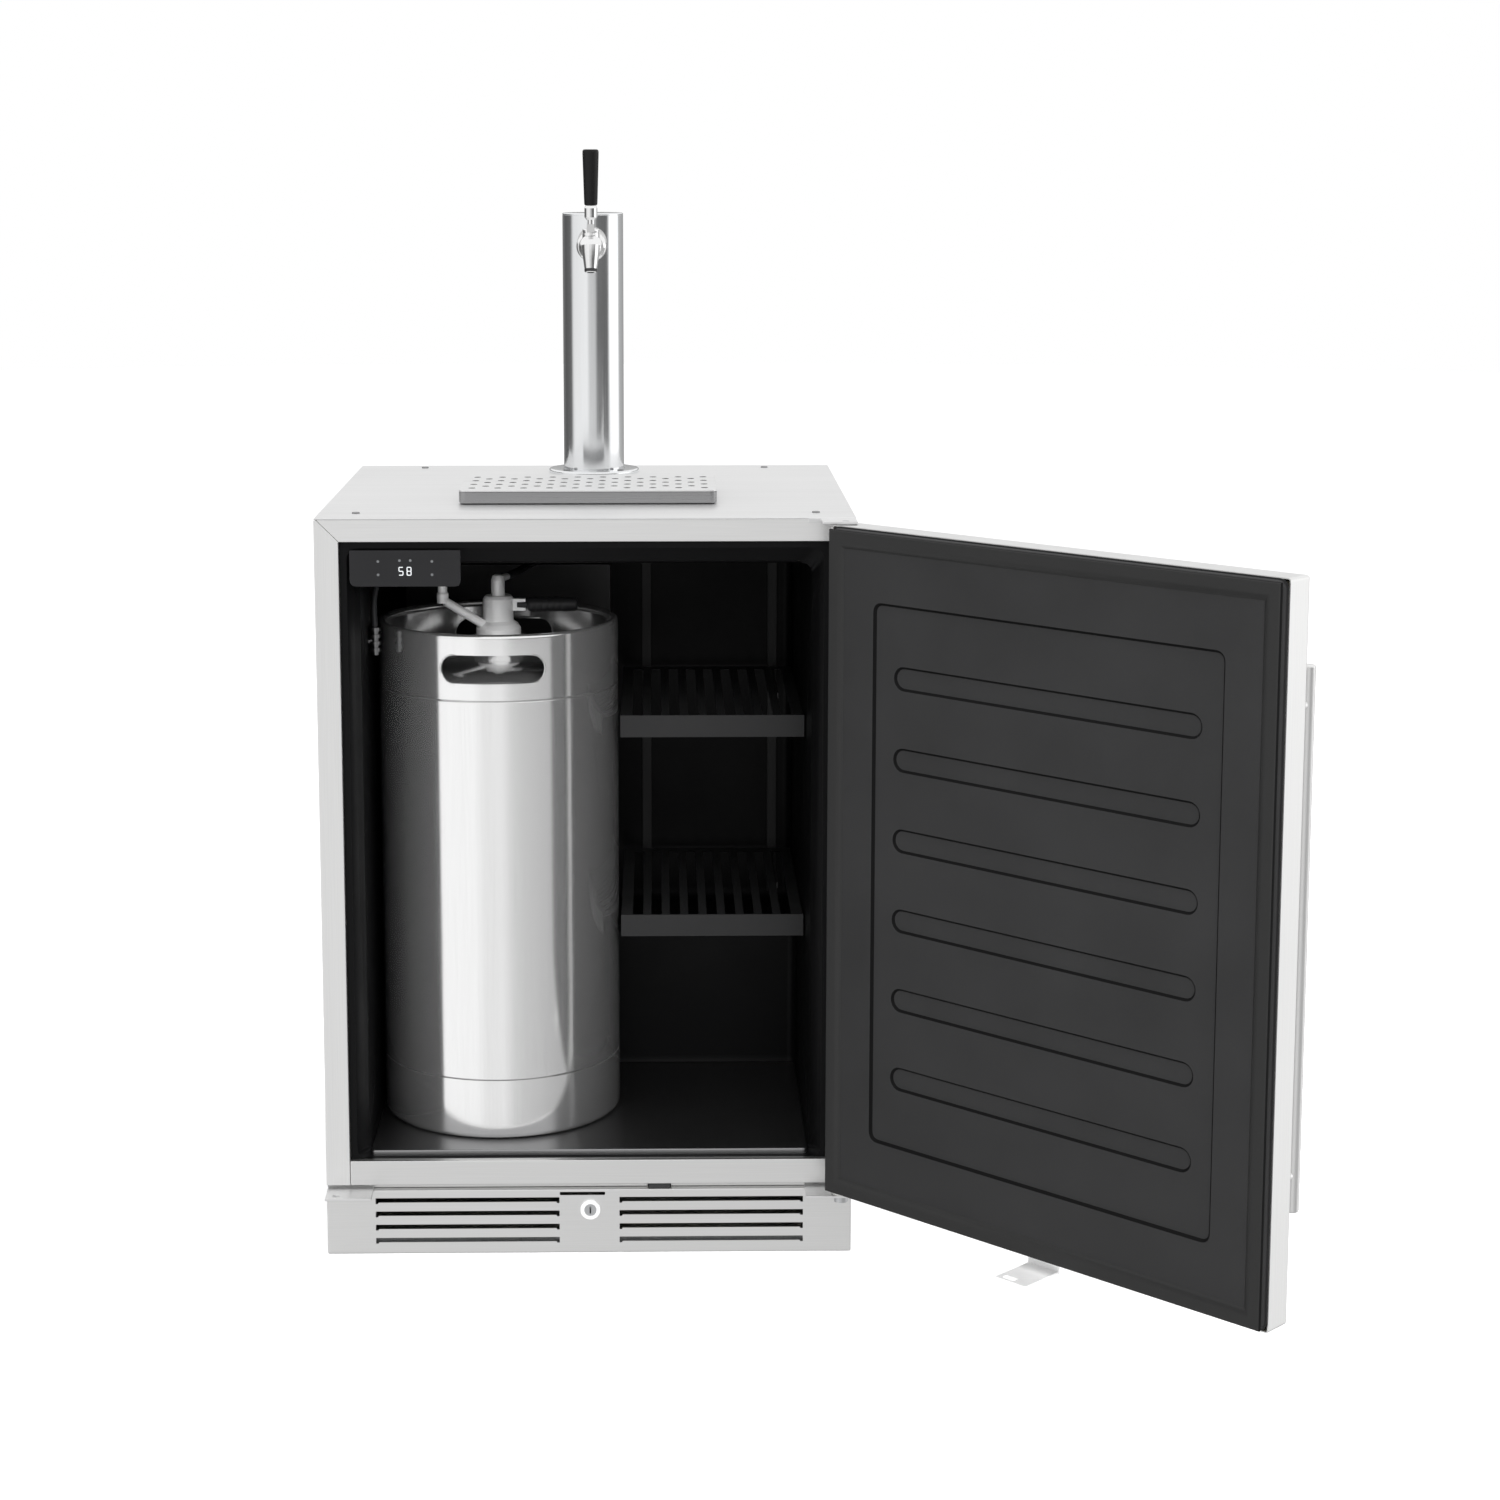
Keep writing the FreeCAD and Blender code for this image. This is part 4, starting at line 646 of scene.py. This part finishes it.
def make_control_panel():
    """The touch panel: a glossy bar with rounded lower corners, a number and six marks."""
    low, high = span("control_panel")
    corners = [(low.x, low.z, 0.008), (high.x, low.z, 0.008), (high.x, high.z, 0.001), (low.x, high.z, 0.001)]
    face = low.y + 0.0001
    body = plate("panel", shape(rounded(corners, 0.001)), high.y - face, facing("-y", face), 0.0009)
    front = facing("-y", low.y)
    centre, middle = (low.x + high.x) / 2, (low.z + high.z) / 2
    outlines = [(1, circle((centre + across, middle + up), 0.0015, 16)) for across, up in MARKS]
    for column, letters in enumerate(SHOWN):
        left = centre - DIGIT_PITCH / 2 + DIGIT_PITCH * column
        for letter in letters:
            across, up = DIGIT_BARS[letter]
            x, z = left + across * HALF_BAR, middle - 0.003 + up * HALF_BAR
            long, wide = (0.0005, 0.0021) if across else (0.0021, 0.0005)
            outlines.append((2, rectangle((x - long, z - wide), (x + long, z + wide), 0.0003, 2)))
    signs = [plate("sign", outline, 0.0004, front, 0.0001) for index, outline in outlines]
    for sign, (index, outline) in zip(signs, outlines):
        paint(sign, index)
    mesh = joined("control_panel_made", [body] + signs)
    stand_for(mesh, "gloss_plastic", "control_panel", extra=("mark", "lens"))


def make_ceiling_light():
    """A bezel with a frosted lens in it."""
    low, high = span("ceiling_light")
    centre = axis_of(low, high)
    radius = (high.x - low.x) / 2
    top, under = high.z, low.z
    profile = within(radius, top, (0.006, 0), (0, 0), (0, -0.0022), (0.001, -0.004))
    profile += within(radius, under, (0.004, 0.0018), (0.006, 0.001), (0.0075, 0.0018))
    bezel = lathe("bezel", profile + within(radius, top, (0.0075, -0.001)), centre)
    glass = radius - 0.0077
    lens = lathe("lens", [
        (0, top - 0.002), (glass, top - 0.002), (glass, under + 0.0022), (glass * 0.8, under + 0.0011),
        (glass * 0.45, under + 0.0003), (0, under),
    ], centre)
    paint(lens, 1)
    stand_for(joined("ceiling_light_made", [bezel, lens]), "shelf", "ceiling_light", extra=("lens",))


# ---- door


def make_door_pan():
    """The door's steel pan, bored for its bushes, and the foam in it."""
    low, high = span("door_pan")
    outline = rectangle(low.xz, high.xz, 0.0035)
    mesh = pan("pan", outline, high.y - low.y, 0.0012, facing("-y", low.y), 0.0026)
    pivot = axis_of(*span("door_bushes"))
    bores = [rod("bore", 0.0057, base, base + 0.03, pivot) for base in (low.z - 0.01, high.z - 0.02)]
    mesh = solid("DIFFERENCE", mesh, *bores)
    mesh.name = "door_pan_made"
    stand_for(mesh, "door_steel", "door_pan")
    low, high = span("door_foam")
    outline = rectangle((low.x + 0.004, low.z + 0.004), (high.x - 0.004, high.z - 0.004), 0.012)
    foam = plate("door_foam_made", outline, high.y - low.y - 0.002, facing("-y", low.y + 0.001), 0.002)
    stand_for(foam, "foam", "door_foam")


# The inner panel's sunk field and the six troughs in it, from the panel's hinge edge and the floor.
FIELD_FAR, FIELD_NEAR, FIELD_FOOT, FIELD_HEAD = 0.519, 0.064, 0.162, 0.771
TROUGHS, TROUGH_FAR, TROUGH_NEAR, TROUGH_RADIUS = 6, 0.4792, 0.1048, 0.0128
FIRST_TROUGH, TROUGH_PITCH = 0.241, 0.09


def make_door_panel():
    """The moulded inner panel and the gasket round it; the walls of the panel's sunk field and troughs and
    the gasket's outer sides take a near-black material, painted shade.
    """
    low, high = span("door_inner_panel")
    thick = high.y - low.y
    lip = 0.0016
    sheet = Sheet(facing("+y", high.y))
    outline = rectangle(low.xz, high.xz, 0.01, 7)
    edge = softened(0.0035) + [(0, thick - 0.0012), (-lip, thick - 0.0012), (-lip, thick)]
    rim, back = sheet.stack(outline, edge)
    sheet.field(back)
    dip = [(-0.001, 0.0), (-0.0006, 0.0001), (0, 0.0006), (0.0016, 0.0026), (0.0024, 0.003)]
    outline = rectangle((high.x - FIELD_FAR, FIELD_FOOT), (high.x - FIELD_NEAR, FIELD_HEAD), 0.012, 7)
    recess, recess_floor = sheet.stack(outline, dip)
    sheet.field(rim, recess)
    bend = [(-0.001, 0.003), (-0.0006, 0.0031), (0, 0.0035), (0.0014, 0.0051), (0.002, 0.0055)]
    troughs = []
    for row in range(TROUGHS):
        level = FIRST_TROUGH + TROUGH_PITCH * row
        groove = capsule(high.x - TROUGH_FAR, high.x - TROUGH_NEAR, level, TROUGH_RADIUS)
        troughs.append(sheet.stack(groove, bend))
    sheet.field(recess_floor, *(trough[0] for trough in troughs))
    for trough in troughs:
        sheet.field(trough[1])
    mesh = sheet.finish("door_inner_panel_made")
    middle = (FIELD_FOOT + FIELD_HEAD) / 2
    # Steep walls of the sunk field and troughs get the near-black recess material: painted shade.
    for face in mesh.polygons:
        inward = max(abs(face.center.x - (low.x + high.x) / 2) / 0.27, abs(face.center.z - middle) / 0.34)
        face.material_index = int(abs(face.normal.y) < 0.93 and inward < 1)
    stand_for(mesh, "panel", "door_inner_panel", extra=("recess",))
    low, high = span("door_gasket")
    thick = high.y - low.y
    sheet = Sheet(facing("+y", high.y))
    section = [
        (0, thick), (0, 0.0014), (0.0004, 0.0006), (0.0012, 0.0001), (0.0022, 0), (0.012, 0),
        (0.014, 0.0004), (0.0162, 0.0014), (0.0182, 0.0026), (0.02, thick),
    ]
    sheet.stack(rectangle(low.xz, high.xz), section, closed=True)
    mesh = sheet.finish("door_gasket_made")
    middle = (low + high) / 2
    # The gasket's outward-facing side walls get the near-black recess material: painted shade.
    for face in mesh.polygons:
        face.material_index = int(abs(face.normal.y) < 0.5 and face.normal.dot(face.center - middle) > 0)
    stand_for(mesh, "rubber", "door_gasket", extra=("recess",))


def make_door_handle():
    low, high = span("handle_bar")
    radius = (high.x - low.x) / 2
    centre = axis_of(low, high)
    end = ((radius, 0), (0.0022, 0), (0.0011, 0.0004), (0.0003, 0.0012), (0, 0.0024))
    profile = within(radius, low.z, *end)
    profile += within(radius, high.z, *((inset, -rise) for inset, rise in reversed(end)))
    stand_for(lathe("handle_bar_made", profile, centre, steps=48), "door_steel", "handle_bar")
    low, high = span("handle_standoffs")
    start, stop, neck = low.y + 0.0008, high.y, 0.0052
    profile = [
        (0, start), (neck, start), (neck, stop - 0.0032), (neck + 0.0003, stop - 0.0026),
        (0.006, stop - 0.0024), (0.006, stop), (0, stop),
    ]
    posts = [lathe("post", profile, (centre[0], 0, level), "y", 32)
             for level in (low.z + 0.006, high.z - 0.006)]
    stand_for(joined("handle_standoffs_made", posts), "door_steel", "handle_standoffs")


# ---- tower and tray


def make_tower():
    """The column, the flange round its foot and the cap in its top."""
    low, high = span("tower_column")
    radius = (high.x - low.x) / 2
    centre = axis_of(low, high)
    gauge = 0.0012
    column = within(radius, low.z, (gauge, 0), (0.0004, 0), (0, 0.0004))
    column += within(radius, high.z, (0, -0.0006), (0.0005, 0), (gauge, 0))
    low, high = span("tower_flange")
    wide = (high.x - low.x) / 2
    flange = within(wide, low.z, (0.0003, 0), (0, 0.0006))
    flange += within(wide, high.z, (0, -0.0022), (0.0004, -0.0011), (0.0012, -0.0003), (0.0026, 0))
    flange += [(radius + 0.0008, high.z), (radius + 0.0002, high.z - 0.0008)]
    flange.insert(0, (radius + 0.0002, low.z))
    low, high = span("tower_cap")
    plug = radius - gauge - 0.0004
    cap = [(0, low.z), (plug, low.z), (plug, high.z - 0.0024)]
    cap += within(
        radius, high.z, (0, -0.0024), (0, -0.0013), (0.0004, -0.0006), (0.0013, -0.0001), (0.0026, 0))
    cap += [(radius * 0.6, high.z), (0, high.z)]
    pieces = ("tower_column", column, 128), ("tower_flange", flange, 128), ("tower_cap", cap, 96)
    for name, profile, steps in pieces:
        stand_for(lathe(name + "_made", profile, centre, steps=steps), "tower_steel", name)


TAP_LEVEL, LEVER_PIVOT = 1.141, (0, 0.1, 1.16)
SPOUT_TIP, SPOUT_LEAN = (0, 0.0762, 1.1108), (0, 0.2, 1)


def make_faucet():
    """The faucet's polished body: a domed barrel on its collar, a sleeve for the lever and the spout."""
    back = span("faucet_body")[1].y
    tap = (0, 0, TAP_LEVEL)
    barrel = lathe("barrel", [
        (0, 0.08), (0.005, 0.0803), (0.009, 0.0815), (0.0122, 0.0842), (0.0142, 0.0882), (0.015, 0.093),
        (0.015, 0.114), (0.014, 0.1156), (0.014, 0.1172), (0.0165, 0.1186), (0.018, 0.1204),
        (0.0185, 0.1226), (0.0185, 0.13), (0.0178, 0.1328), (0.0162, back), (0, back),
    ], tap, "y", 72)
    sleeve = lathe("sleeve", [
        (0, TAP_LEVEL), (0.0105, TAP_LEVEL), (0.0105, 1.156), (0.01, 1.1576), (0.01, 1.1588),
        (0.0105, 1.16), (0.0105, 1.1618), (0.0098, 1.1632), (0, 1.1632),
    ], (0, LEVER_PIVOT[1], 0), "z", 56)
    spout = lathe("spout", [
        (0, 0), (0.0064, 0), (0.0072, 0.0008), (0.0075, 0.003), (0.009, 0.014), (0.0105, 0.024),
        (0.0112, 0.033), (0, 0.033),
    ], (0, 0, 0), "z", 56)
    throat = rod("throat", 0.0048, -0.008, 0.03, (0, 0, 0))
    tip = lathe("tip", [
        (0.0049, 0.0006), (0.007, 0.0006), (0.0076, 0.0012), (0.0078, 0.003), (0.0077, 0.0046),
        (0.005, 0.0046),
    ], (0, 0, 0), "z", 48)
    aim = Matrix.Translation(SPOUT_TIP) @ Vector(SPOUT_LEAN).to_track_quat("Z", "Y").to_matrix().to_4x4()
    for mesh in (spout, throat, tip):
        mesh.transform(aim)
    paint(tip, 1)
    ball = [(0.007 * math.sin(a), -0.007 * math.cos(a)) for a in (math.pi * n / 12 for n in range(13))]
    cutters = (
        lathe("socket", ball, LEVER_PIVOT, "z", 40), rod("shaft", 0.0062, 0.086, 0.146, tap, "y"), throat,
        plate("swing", rectangle((-0.0046, 0.08), (0.0046, 0.1046)), 0.01, facing("+z", 1.169), 0),
        plate("tongue", rectangle((-0.003, 0.0965), (0.003, 0.111)), 0.019, facing("+z", 1.16), 0),
        rod("pin", 0.0024, -0.012, 0.012, LEVER_PIVOT, "x", 24),
    )
    mesh = solid("DIFFERENCE", solid("UNION", barrel, sleeve, spout), *cutters)
    mesh = joined("faucet_body_made", [mesh, tip])
    stand_for(mesh, "chrome", "faucet_body", angle=38, extra=("black_plastic",))


def make_tap_handle():
    """The black grip: a soft shoulder, a slight taper and a rounded crown."""
    low, high = span("tap_handle")
    base, top = low.z, high.z
    profile = [
        (0, base), (0.007, base), (0.0078, base + 0.0006), (0.0081, base + 0.0022), (0.0084, base + 0.01),
        (0.0088, base + 0.024), (0.0094, base + 0.044), (0.0099, top - 0.006), (0.0099, top - 0.003),
        (0.0096, top - 0.0014), (0.0088, top - 0.0004), (0.0076, top), (0.004, top), (0, top),
    ]
    stand_for(lathe("grip", profile, axis_of(low, high)), "grip", "tap_handle")


GRID_PITCH, GRID_ROW_PITCH, GRID_HOLE = 0.03, 0.038, 0.004


def make_drip_tray():
    """The tray, and its grid with two interleaved sets of holes; the tray's inside and the holes' walls take
    near-black steel, painted shade.
    """
    low, high = span("drip_tray")
    outline = rectangle(low.xy, high.xy, 0.009, 8)
    mesh = pan("drip_tray_made", outline, high.z - low.z, 0.0012, facing("-z", low.z), 0.003)
    brim = Vector((*axis_of(low, high)[:2], high.z))
    # Faces inside the tray, below its brim, get near-black steel: painted shade.
    for face in mesh.polygons:
        inside = (face.center - brim).dot(face.normal) < 0
        face.material_index = int(inside and face.center.z < high.z - 0.0001)
    stand_for(mesh, "tray_steel", "drip_tray", extra=("tray_inside",))
    low, high = span("drip_grid")
    outline = rectangle(low.xy, high.xy, 0.009, 8)
    middle = (low.y + high.y) / 2
    holes = []
    for columns, rows in ((10, 4), (9, 3)):
        for column in range(columns):
            across = GRID_PITCH * (column - (columns - 1) / 2)
            holes += [circle((across, middle + GRID_ROW_PITCH * (row - (rows - 1) / 2)), GRID_HOLE, 20)
                      for row in range(rows)]
    mesh = plate("drip_grid_made", outline, high.z - low.z, facing("+z", high.z), 0.0005, holes)
    # The walls of the grid's holes get the same near-black steel: painted shade.
    for face in mesh.polygons:
        inner = abs(face.center.x) < high.x - 0.003 and low.y + 0.003 < face.center.y < high.y - 0.003
        face.material_index = int(inner and abs(face.normal.z) < 0.9)
    stand_for(mesh, "casing_level", "drip_grid", extra=("tray_inside",))


# ---- keg


def make_keg_shell(low, high, radius, centre, seams):
    """The keg's body: domed ends, and a narrow groove at each of its two seams."""
    under, over = seams
    foot = within(
        radius, low.z, (0.08, 0.002), (0.05, 0.007), (0.03, 0.014), (0.014, 0.023), (0.006, 0.031))
    wall = within(radius, under, (0.0024, -0.001), (0.0008, -0.0002), (0, 0.001))
    wall += [(radius, (under + over) / 2)]
    wall += within(radius, over, (0, -0.001), (0.0008, 0.0002), (0.0024, 0.001))
    dome = within(
        radius, over, (0.006, 0.007), (0.014, 0.015), (0.03, 0.024), (0.05, 0.03), (0.08, 0.034))
    neck = [
        (0.034, over + 0.037), (0.0325, over + 0.038), (0.032, over + 0.04),
        (0.032, high.z - 0.0008), (0.0312, high.z), (0.0288, high.z), (0.028, high.z - 0.0008),
        (0.028, over + 0.02), (0, over + 0.02),
    ]
    profile = [(0, low.z), (0.04, low.z + 0.0006)] + foot + wall + dome + neck
    stand_for(lathe("keg_shell_made", profile, centre, steps=192), "keg_steel", "keg_shell")


HAND_LEVEL, HAND_REACH, HAND_RADIUS = 0.673, 0.0445, 0.0165


def make_keg_skirt(low, high, radius, centre):
    """The top skirt: its rim rolled inwards, and a lipped hand slot in front and behind."""
    rim = within(radius, low.z, (0.0022, 0), (0, 0)) + within(
        radius, high.z, (0, -0.005), (0.0003, -0.003), (0.0012, -0.0013), (0.0028, -0.0003), (0.0046, 0),
        (0.0064, -0.0004), (0.008, -0.0014), (0.009, -0.0032), (0.0094, -0.0052), (0.009, -0.0072),
        (0.008, -0.0086), (0.0066, -0.008), (0.0074, -0.0062), (0.0074, -0.0044), (0.0056, -0.0026),
        (0.0038, -0.0026), (0.0022, -0.005))
    skirt = lathe("skirt", rim, centre, steps=192)

    def through(side):
        """Places an outline flat ahead of or behind the keg, its depth going through the wall."""
        return lambda u, v, d: Vector((centre[0] + u, centre[1] - side * (radius + 0.02 - d), v))

    def wrapped(side):
        """Places an outline on the keg's wall, straight ahead of or behind its axis."""
        def place(across, level, depth):
            turn, reach = across / radius, radius - depth
            ahead = centre[1] - side * reach * math.cos(turn)
            return Vector((centre[0] + reach * math.sin(turn), ahead, level))
        return place

    cutters, lips = [], []
    roll = [(0.0011 * math.cos(a) - 0.0003, 0.0011 + 0.0017 * math.sin(a))
            for a in (math.pi * n / 5 for n in range(10))]
    for side in (1, -1):
        cutter = Sheet(through(side))
        hand = capsule(-HAND_REACH, HAND_REACH, HAND_LEVEL, HAND_RADIUS)
        for end in cutter.stack(hand, [(0, 0), (0, 0.1)]):
            cutter.field(end)
        cutters.append(cutter.finish("hand"))
        ring = Sheet(wrapped(side))
        reach = HAND_REACH + 0.0006
        ring.stack(capsule(-reach, reach, HAND_LEVEL, HAND_RADIUS), roll, closed=True)
        lips.append(ring.finish("lip"))
    skirt = solid("DIFFERENCE", skirt, *cutters)
    stand_for(joined("keg_top_skirt_made", [skirt] + lips), "keg_steel", "keg_top_skirt", angle=35)


def make_keg():
    low, high = span("keg_shell")
    centre = axis_of(low, high)
    radius = (high.x - low.x) / 2
    skirt_low, skirt_high = span("keg_top_skirt")
    foot_low, foot_high = span("keg_bottom_skirt")
    make_keg_shell(low, high, radius, centre, (foot_high.z + 0.0012, skirt_low.z - 0.002))
    make_keg_skirt(skirt_low, skirt_high, radius, centre)
    profile = [(radius - 0.0022, foot_high.z)] + within(
        radius, foot_low.z, (0.0022, 0.007), (0.004, 0.0048), (0.0144, 0.004), (0.0144, 0), (0.006, 0),
        (0.003, 0.001), (0.001, 0.003), (0, 0.0065))
    profile += [(radius, (foot_low.z + foot_high.z) / 2), (radius, foot_high.z)]
    stand_for(lathe("keg_bottom_skirt_made", profile, centre, steps=192), "keg_steel", "keg_bottom_skirt")


def make_coupler_handle():
    """The coupler's black grip with six ridges round it."""
    low, high = span("coupler_handle")
    axis = (0, (low.y + high.y) / 2, (low.z + high.z) / 2)
    grip, end, start = (high.z - low.z) / 2, high.x, low.x
    profile = [(0, start)] + within(grip, start, (0.0035, 0), (0.003, 0.012), (0.0012, 0.0135))
    for ridge in range(6):
        begin = start + 0.015 + 0.0075 * ridge
        profile += within(grip, begin, (0.0006, 0), (0, 0.0012), (0, 0.0052), (0.0006, 0.0064))
    profile += within(grip, end, (0.0005, -0.0035), (0.0018, -0.0012), (0.004, 0)) + [(0, end)]
    stand_for(lathe("coupler_handle_made", profile, axis, "x", 48), "black_plastic", "coupler_handle")


# ---- pieces kept from the frame

CAD_FINISHES = {
    "casing_level": ("upper_hinge_plate", "lower_hinge_brackets"),
    "keg_steel": ("keg_valve",),
    "chrome": ("faucet_shank", "faucet_lever"),
    "satin": ("coupler_body", "coupler_probe", "lock_housing", "lock_strike"),
    "screw_steel": ("panel_screws", "gas_bulkhead"),
    "brass": ("faucet_shaft",),
    "galvanised": ("base_pan", "back_panel", "hinge_pins", "lock_plug"),
    "black_plastic": ("door_switch", "condenser_fan", "evaporator_fan", "evaporator_cover", "control_box"),
    "nylon": ("door_bushes", "levelling_feet"),
    "shelf": ("shelf_upper", "shelf_lower", "shelf_brackets"),
    "machine": ("compressor",),
    "fins": ("condenser",),
}
SOFTENED = (
    "shelf_upper", "shelf_lower", "shelf_brackets", "upper_hinge_plate", "lower_hinge_brackets",
    "lock_strike", "control_box", "evaporator_cover", "door_switch",
)


def soften_cad_nodes():
    """A small bevel along the sharp edges of the folded pieces."""
    for name in SOFTENED:
        weld = nodes[name].modifiers.new("weld", "WELD")
        weld.merge_threshold = 0.00001
        bevel = nodes[name].modifiers.new("bevel", "BEVEL")
        bevel.width = 0.0006
        bevel.segments = 2
        bevel.limit_method = "ANGLE"
        bevel.angle_limit = math.radians(40)
        bevel.harden_normals = True


def dress_cad_nodes():
    for finish, names in CAD_FINISHES.items():
        for name in names:
            for material_slot in nodes[name].material_slots:
                material_slot.material = MATERIALS[finish]


# ---- camera, light and floor


def make_camera():
    """From straight ahead at the tap's height, looking a little down, with the lens shifted down too."""
    data = bpy.data.cameras.new("camera")
    data.lens = 70.358
    data.sensor_width = 36
    data.shift_x = 0.03
    data.shift_y = -0.1
    data.clip_end = 60
    camera = placed("camera", data)
    camera.location = (0.079, -3.5101, 1.2576)
    camera.rotation_euler = (math.radians(90 - 8.718), 0, math.radians(-0.957))
    scene.camera = camera


# Brightness round the horizon, by degrees from the front towards the right: level with the
# tower, and lower down where the keg's wall looks.
LEVEL = (
    (-180, 0.3), (-128, 0.1), (-92, 0.14), (-80, 0.86), (-22, 0.95), (-14, 0.62),
    (8, 0.58), (16, 0.16), (57, 0.12), (69, 1.5), (106, 1.5), (116, 0.5), (180, 0.3),
)
BELOW = (
    (-180, 0.3), (-128, 0.12), (-92, 0.2), (-72, 1.08), (-22, 1.0), (-12, 0.84),
    (4, 0.86), (16, 0.62), (24, 0.56), (44, 0.48), (60, 0.42), (84, 0.46), (96, 1.1),
    (112, 1.1), (126, 0.5), (180, 0.3),
)
SKY = 1.0
GROUND = 0.55


def make_world():
    """A soft studio: white to the eye, and round the metal a dome of broad panels."""
    world = bpy.data.worlds.new("studio")
    scene.world = world
    world.use_nodes = True
    tree = world.node_tree
    tree.nodes.clear()
    link = tree.links.new

    def new(kind, **values):
        made = tree.nodes.new("ShaderNode" + kind)
        for name, value in values.items():
            setattr(made, name, value)
        return made

    split = new("SeparateXYZ")
    link(new("TexCoord").outputs["Generated"], split.inputs["Vector"])
    ahead = new("Math", operation="MULTIPLY")
    ahead.inputs[1].default_value = -1
    link(split.outputs["Y"], ahead.inputs[0])
    turn = new("Math", operation="ARCTAN2")
    link(split.outputs["X"], turn.inputs[0])
    link(ahead.outputs[0], turn.inputs[1])
    share = new("MapRange")
    share.inputs["From Min"].default_value = -math.pi
    share.inputs["From Max"].default_value = math.pi
    link(turn.outputs[0], share.inputs["Value"])

    def horizon(stops):
        dome = new("ValToRGB")
        marks = dome.color_ramp.elements
        while len(marks) < len(stops):
            marks.new(0.5)
        for mark, (degrees, brightness) in zip(marks, stops):
            mark.position = (degrees + 180) / 360
            mark.color = (brightness, brightness, brightness, 1)
        link(share.outputs["Result"], dome.inputs["Fac"])
        return dome.outputs["Color"]

    def even(brightness):
        plain = new("RGB")
        plain.outputs[0].default_value = (brightness, brightness, brightness, 1)
        return plain.outputs[0]

    previous = horizon(LEVEL)
    layers = ((-0.08, -0.15, horizon(BELOW)), (0.05, 0.3, even(SKY)), (-0.32, -0.7, even(GROUND)))
    for start, end, layer in layers:
        fade = new("MapRange", interpolation_type="SMOOTHSTEP")
        fade.inputs["From Min"].default_value = start
        fade.inputs["From Max"].default_value = end
        link(split.outputs["Z"], fade.inputs["Value"])
        mix = new("Mix", data_type="RGBA")
        link(fade.outputs["Result"], mix.inputs["Factor"])
        link(previous, mix.inputs["A"])
        link(layer, mix.inputs["B"])
        previous = mix.outputs["Result"]
    around, plain = new("Background"), new("Background")
    link(previous, around.inputs["Color"])
    plain.inputs["Color"].default_value = (1, 1, 1, 1)
    either = new("MixShader")
    link(new("LightPath").outputs["Is Camera Ray"], either.inputs["Fac"])
    link(around.outputs[0], either.inputs[1])
    link(plain.outputs[0], either.inputs[2])
    link(either.outputs[0], new("OutputWorld").inputs["Surface"])


def make_light(name, place, aim, size, power):
    data = bpy.data.lights.new(name, "AREA")
    data.shape = "RECTANGLE"
    data.size, data.size_y = size
    data.energy = power
    light = placed(name, data)
    light.location = place
    light.rotation_euler = (Vector(aim) - Vector(place)).to_track_quat("-Z", "Y").to_euler()
    light.visible_glossy = False


def make_lights():
    make_light("front_light", (0.9, -3.2, 2.4), (0.1, 0, 0.5), (1.8, 1.4), 70)
    make_light("top_light", (0.2, -0.6, 3.4), (0, -0.2, 0), (3.0, 3.0), 60)
    make_light("back_light", (1.5, 3.0, 2.0), (0, 0, 0.5), (2.0, 2.0), 40)


def make_floor():
    """A pale disc under everything, wide enough to meet the white distance."""
    mesh = bpy.data.meshes.new("floor")
    outline = bmesh.new()
    bmesh.ops.create_circle(outline, cap_ends=True, radius=14, segments=96)
    outline.to_mesh(mesh)
    outline.free()
    floor = placed("floor", mesh)
    floor.location = (0, 0, -0.0002)
    finish = Finish("floor_white", (0.92, 0.92, 0.92), roughness=0.9)
    finish.tint(finish.noise(0.6), 0.99, 1.0)
    finish.shader.inputs["Emission Color"].default_value = (1, 1, 1, 1)
    finish.shader.inputs["Emission Strength"].default_value = 0.2
    mesh.materials.append(finish.material)
    floor.visible_glossy = False


# ---- cords

BEER_ROUTE = (
    (-99, -56.2, 757), (-86, -22, 758.5), (-70, 21, 763), (-50, 68, 767), (-28, 112, 767),
    (-12, 146, 769), (-4.5, 176, 778), (-1, 195, 798), (0, 202, 826), (0.8, 203, 865),
    (-0.8, 202.2, 935), (0.8, 203, 1015), (0, 202.5, 1070), (0, 202.4, 1117.9),
)
GAS_ROUTE = (
    (-172, -106, 755), (-174, -106, 771), (-185, -108, 787), (-203, -116, 794), (-222, -128, 791),
    (-238, -142, 779), (-246, -154, 759), (-248, -159.5, 736), (-246.5, -160, 713.1),
)


def make_hose(name, node, route, width):
    curve = bpy.data.curves.new(name, "CURVE")
    curve.dimensions = "3D"
    spline = curve.splines.new("NURBS")
    spline.points.add(len(route) - 1)
    for point, place in zip(spline.points, route):
        point.co = (*(number * MM for number in place), 1)
    spline.order_u = 3
    spline.use_endpoint_u = True
    spline.resolution_u = 12
    curve.bevel_depth = width / 2
    curve.bevel_resolution = 7
    curve.use_fill_caps = True
    hose = placed(name, curve)
    curve.materials.append(MATERIALS["hose"])
    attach(hose, "cabinet")
    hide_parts(node)


make_camera()
make_hose("beer_hose", "beer_line", BEER_ROUTE, 0.009)
make_hose("gas_hose", "gas_line", GAS_ROUTE, 0.007)
for make_pieces in (
    make_frame_members, make_kick_plate, make_casing, make_liner, make_insulation, make_floor_plate,
    make_control_panel, make_ceiling_light, make_door_pan, make_door_panel, make_door_handle, make_tower,
    make_faucet, make_tap_handle, make_drip_tray, make_keg, make_coupler_handle,
):
    make_pieces()
make_world()
make_lights()
make_floor()
dress_cad_nodes()
soften_cad_nodes()
scene.view_settings.view_transform = "Standard"
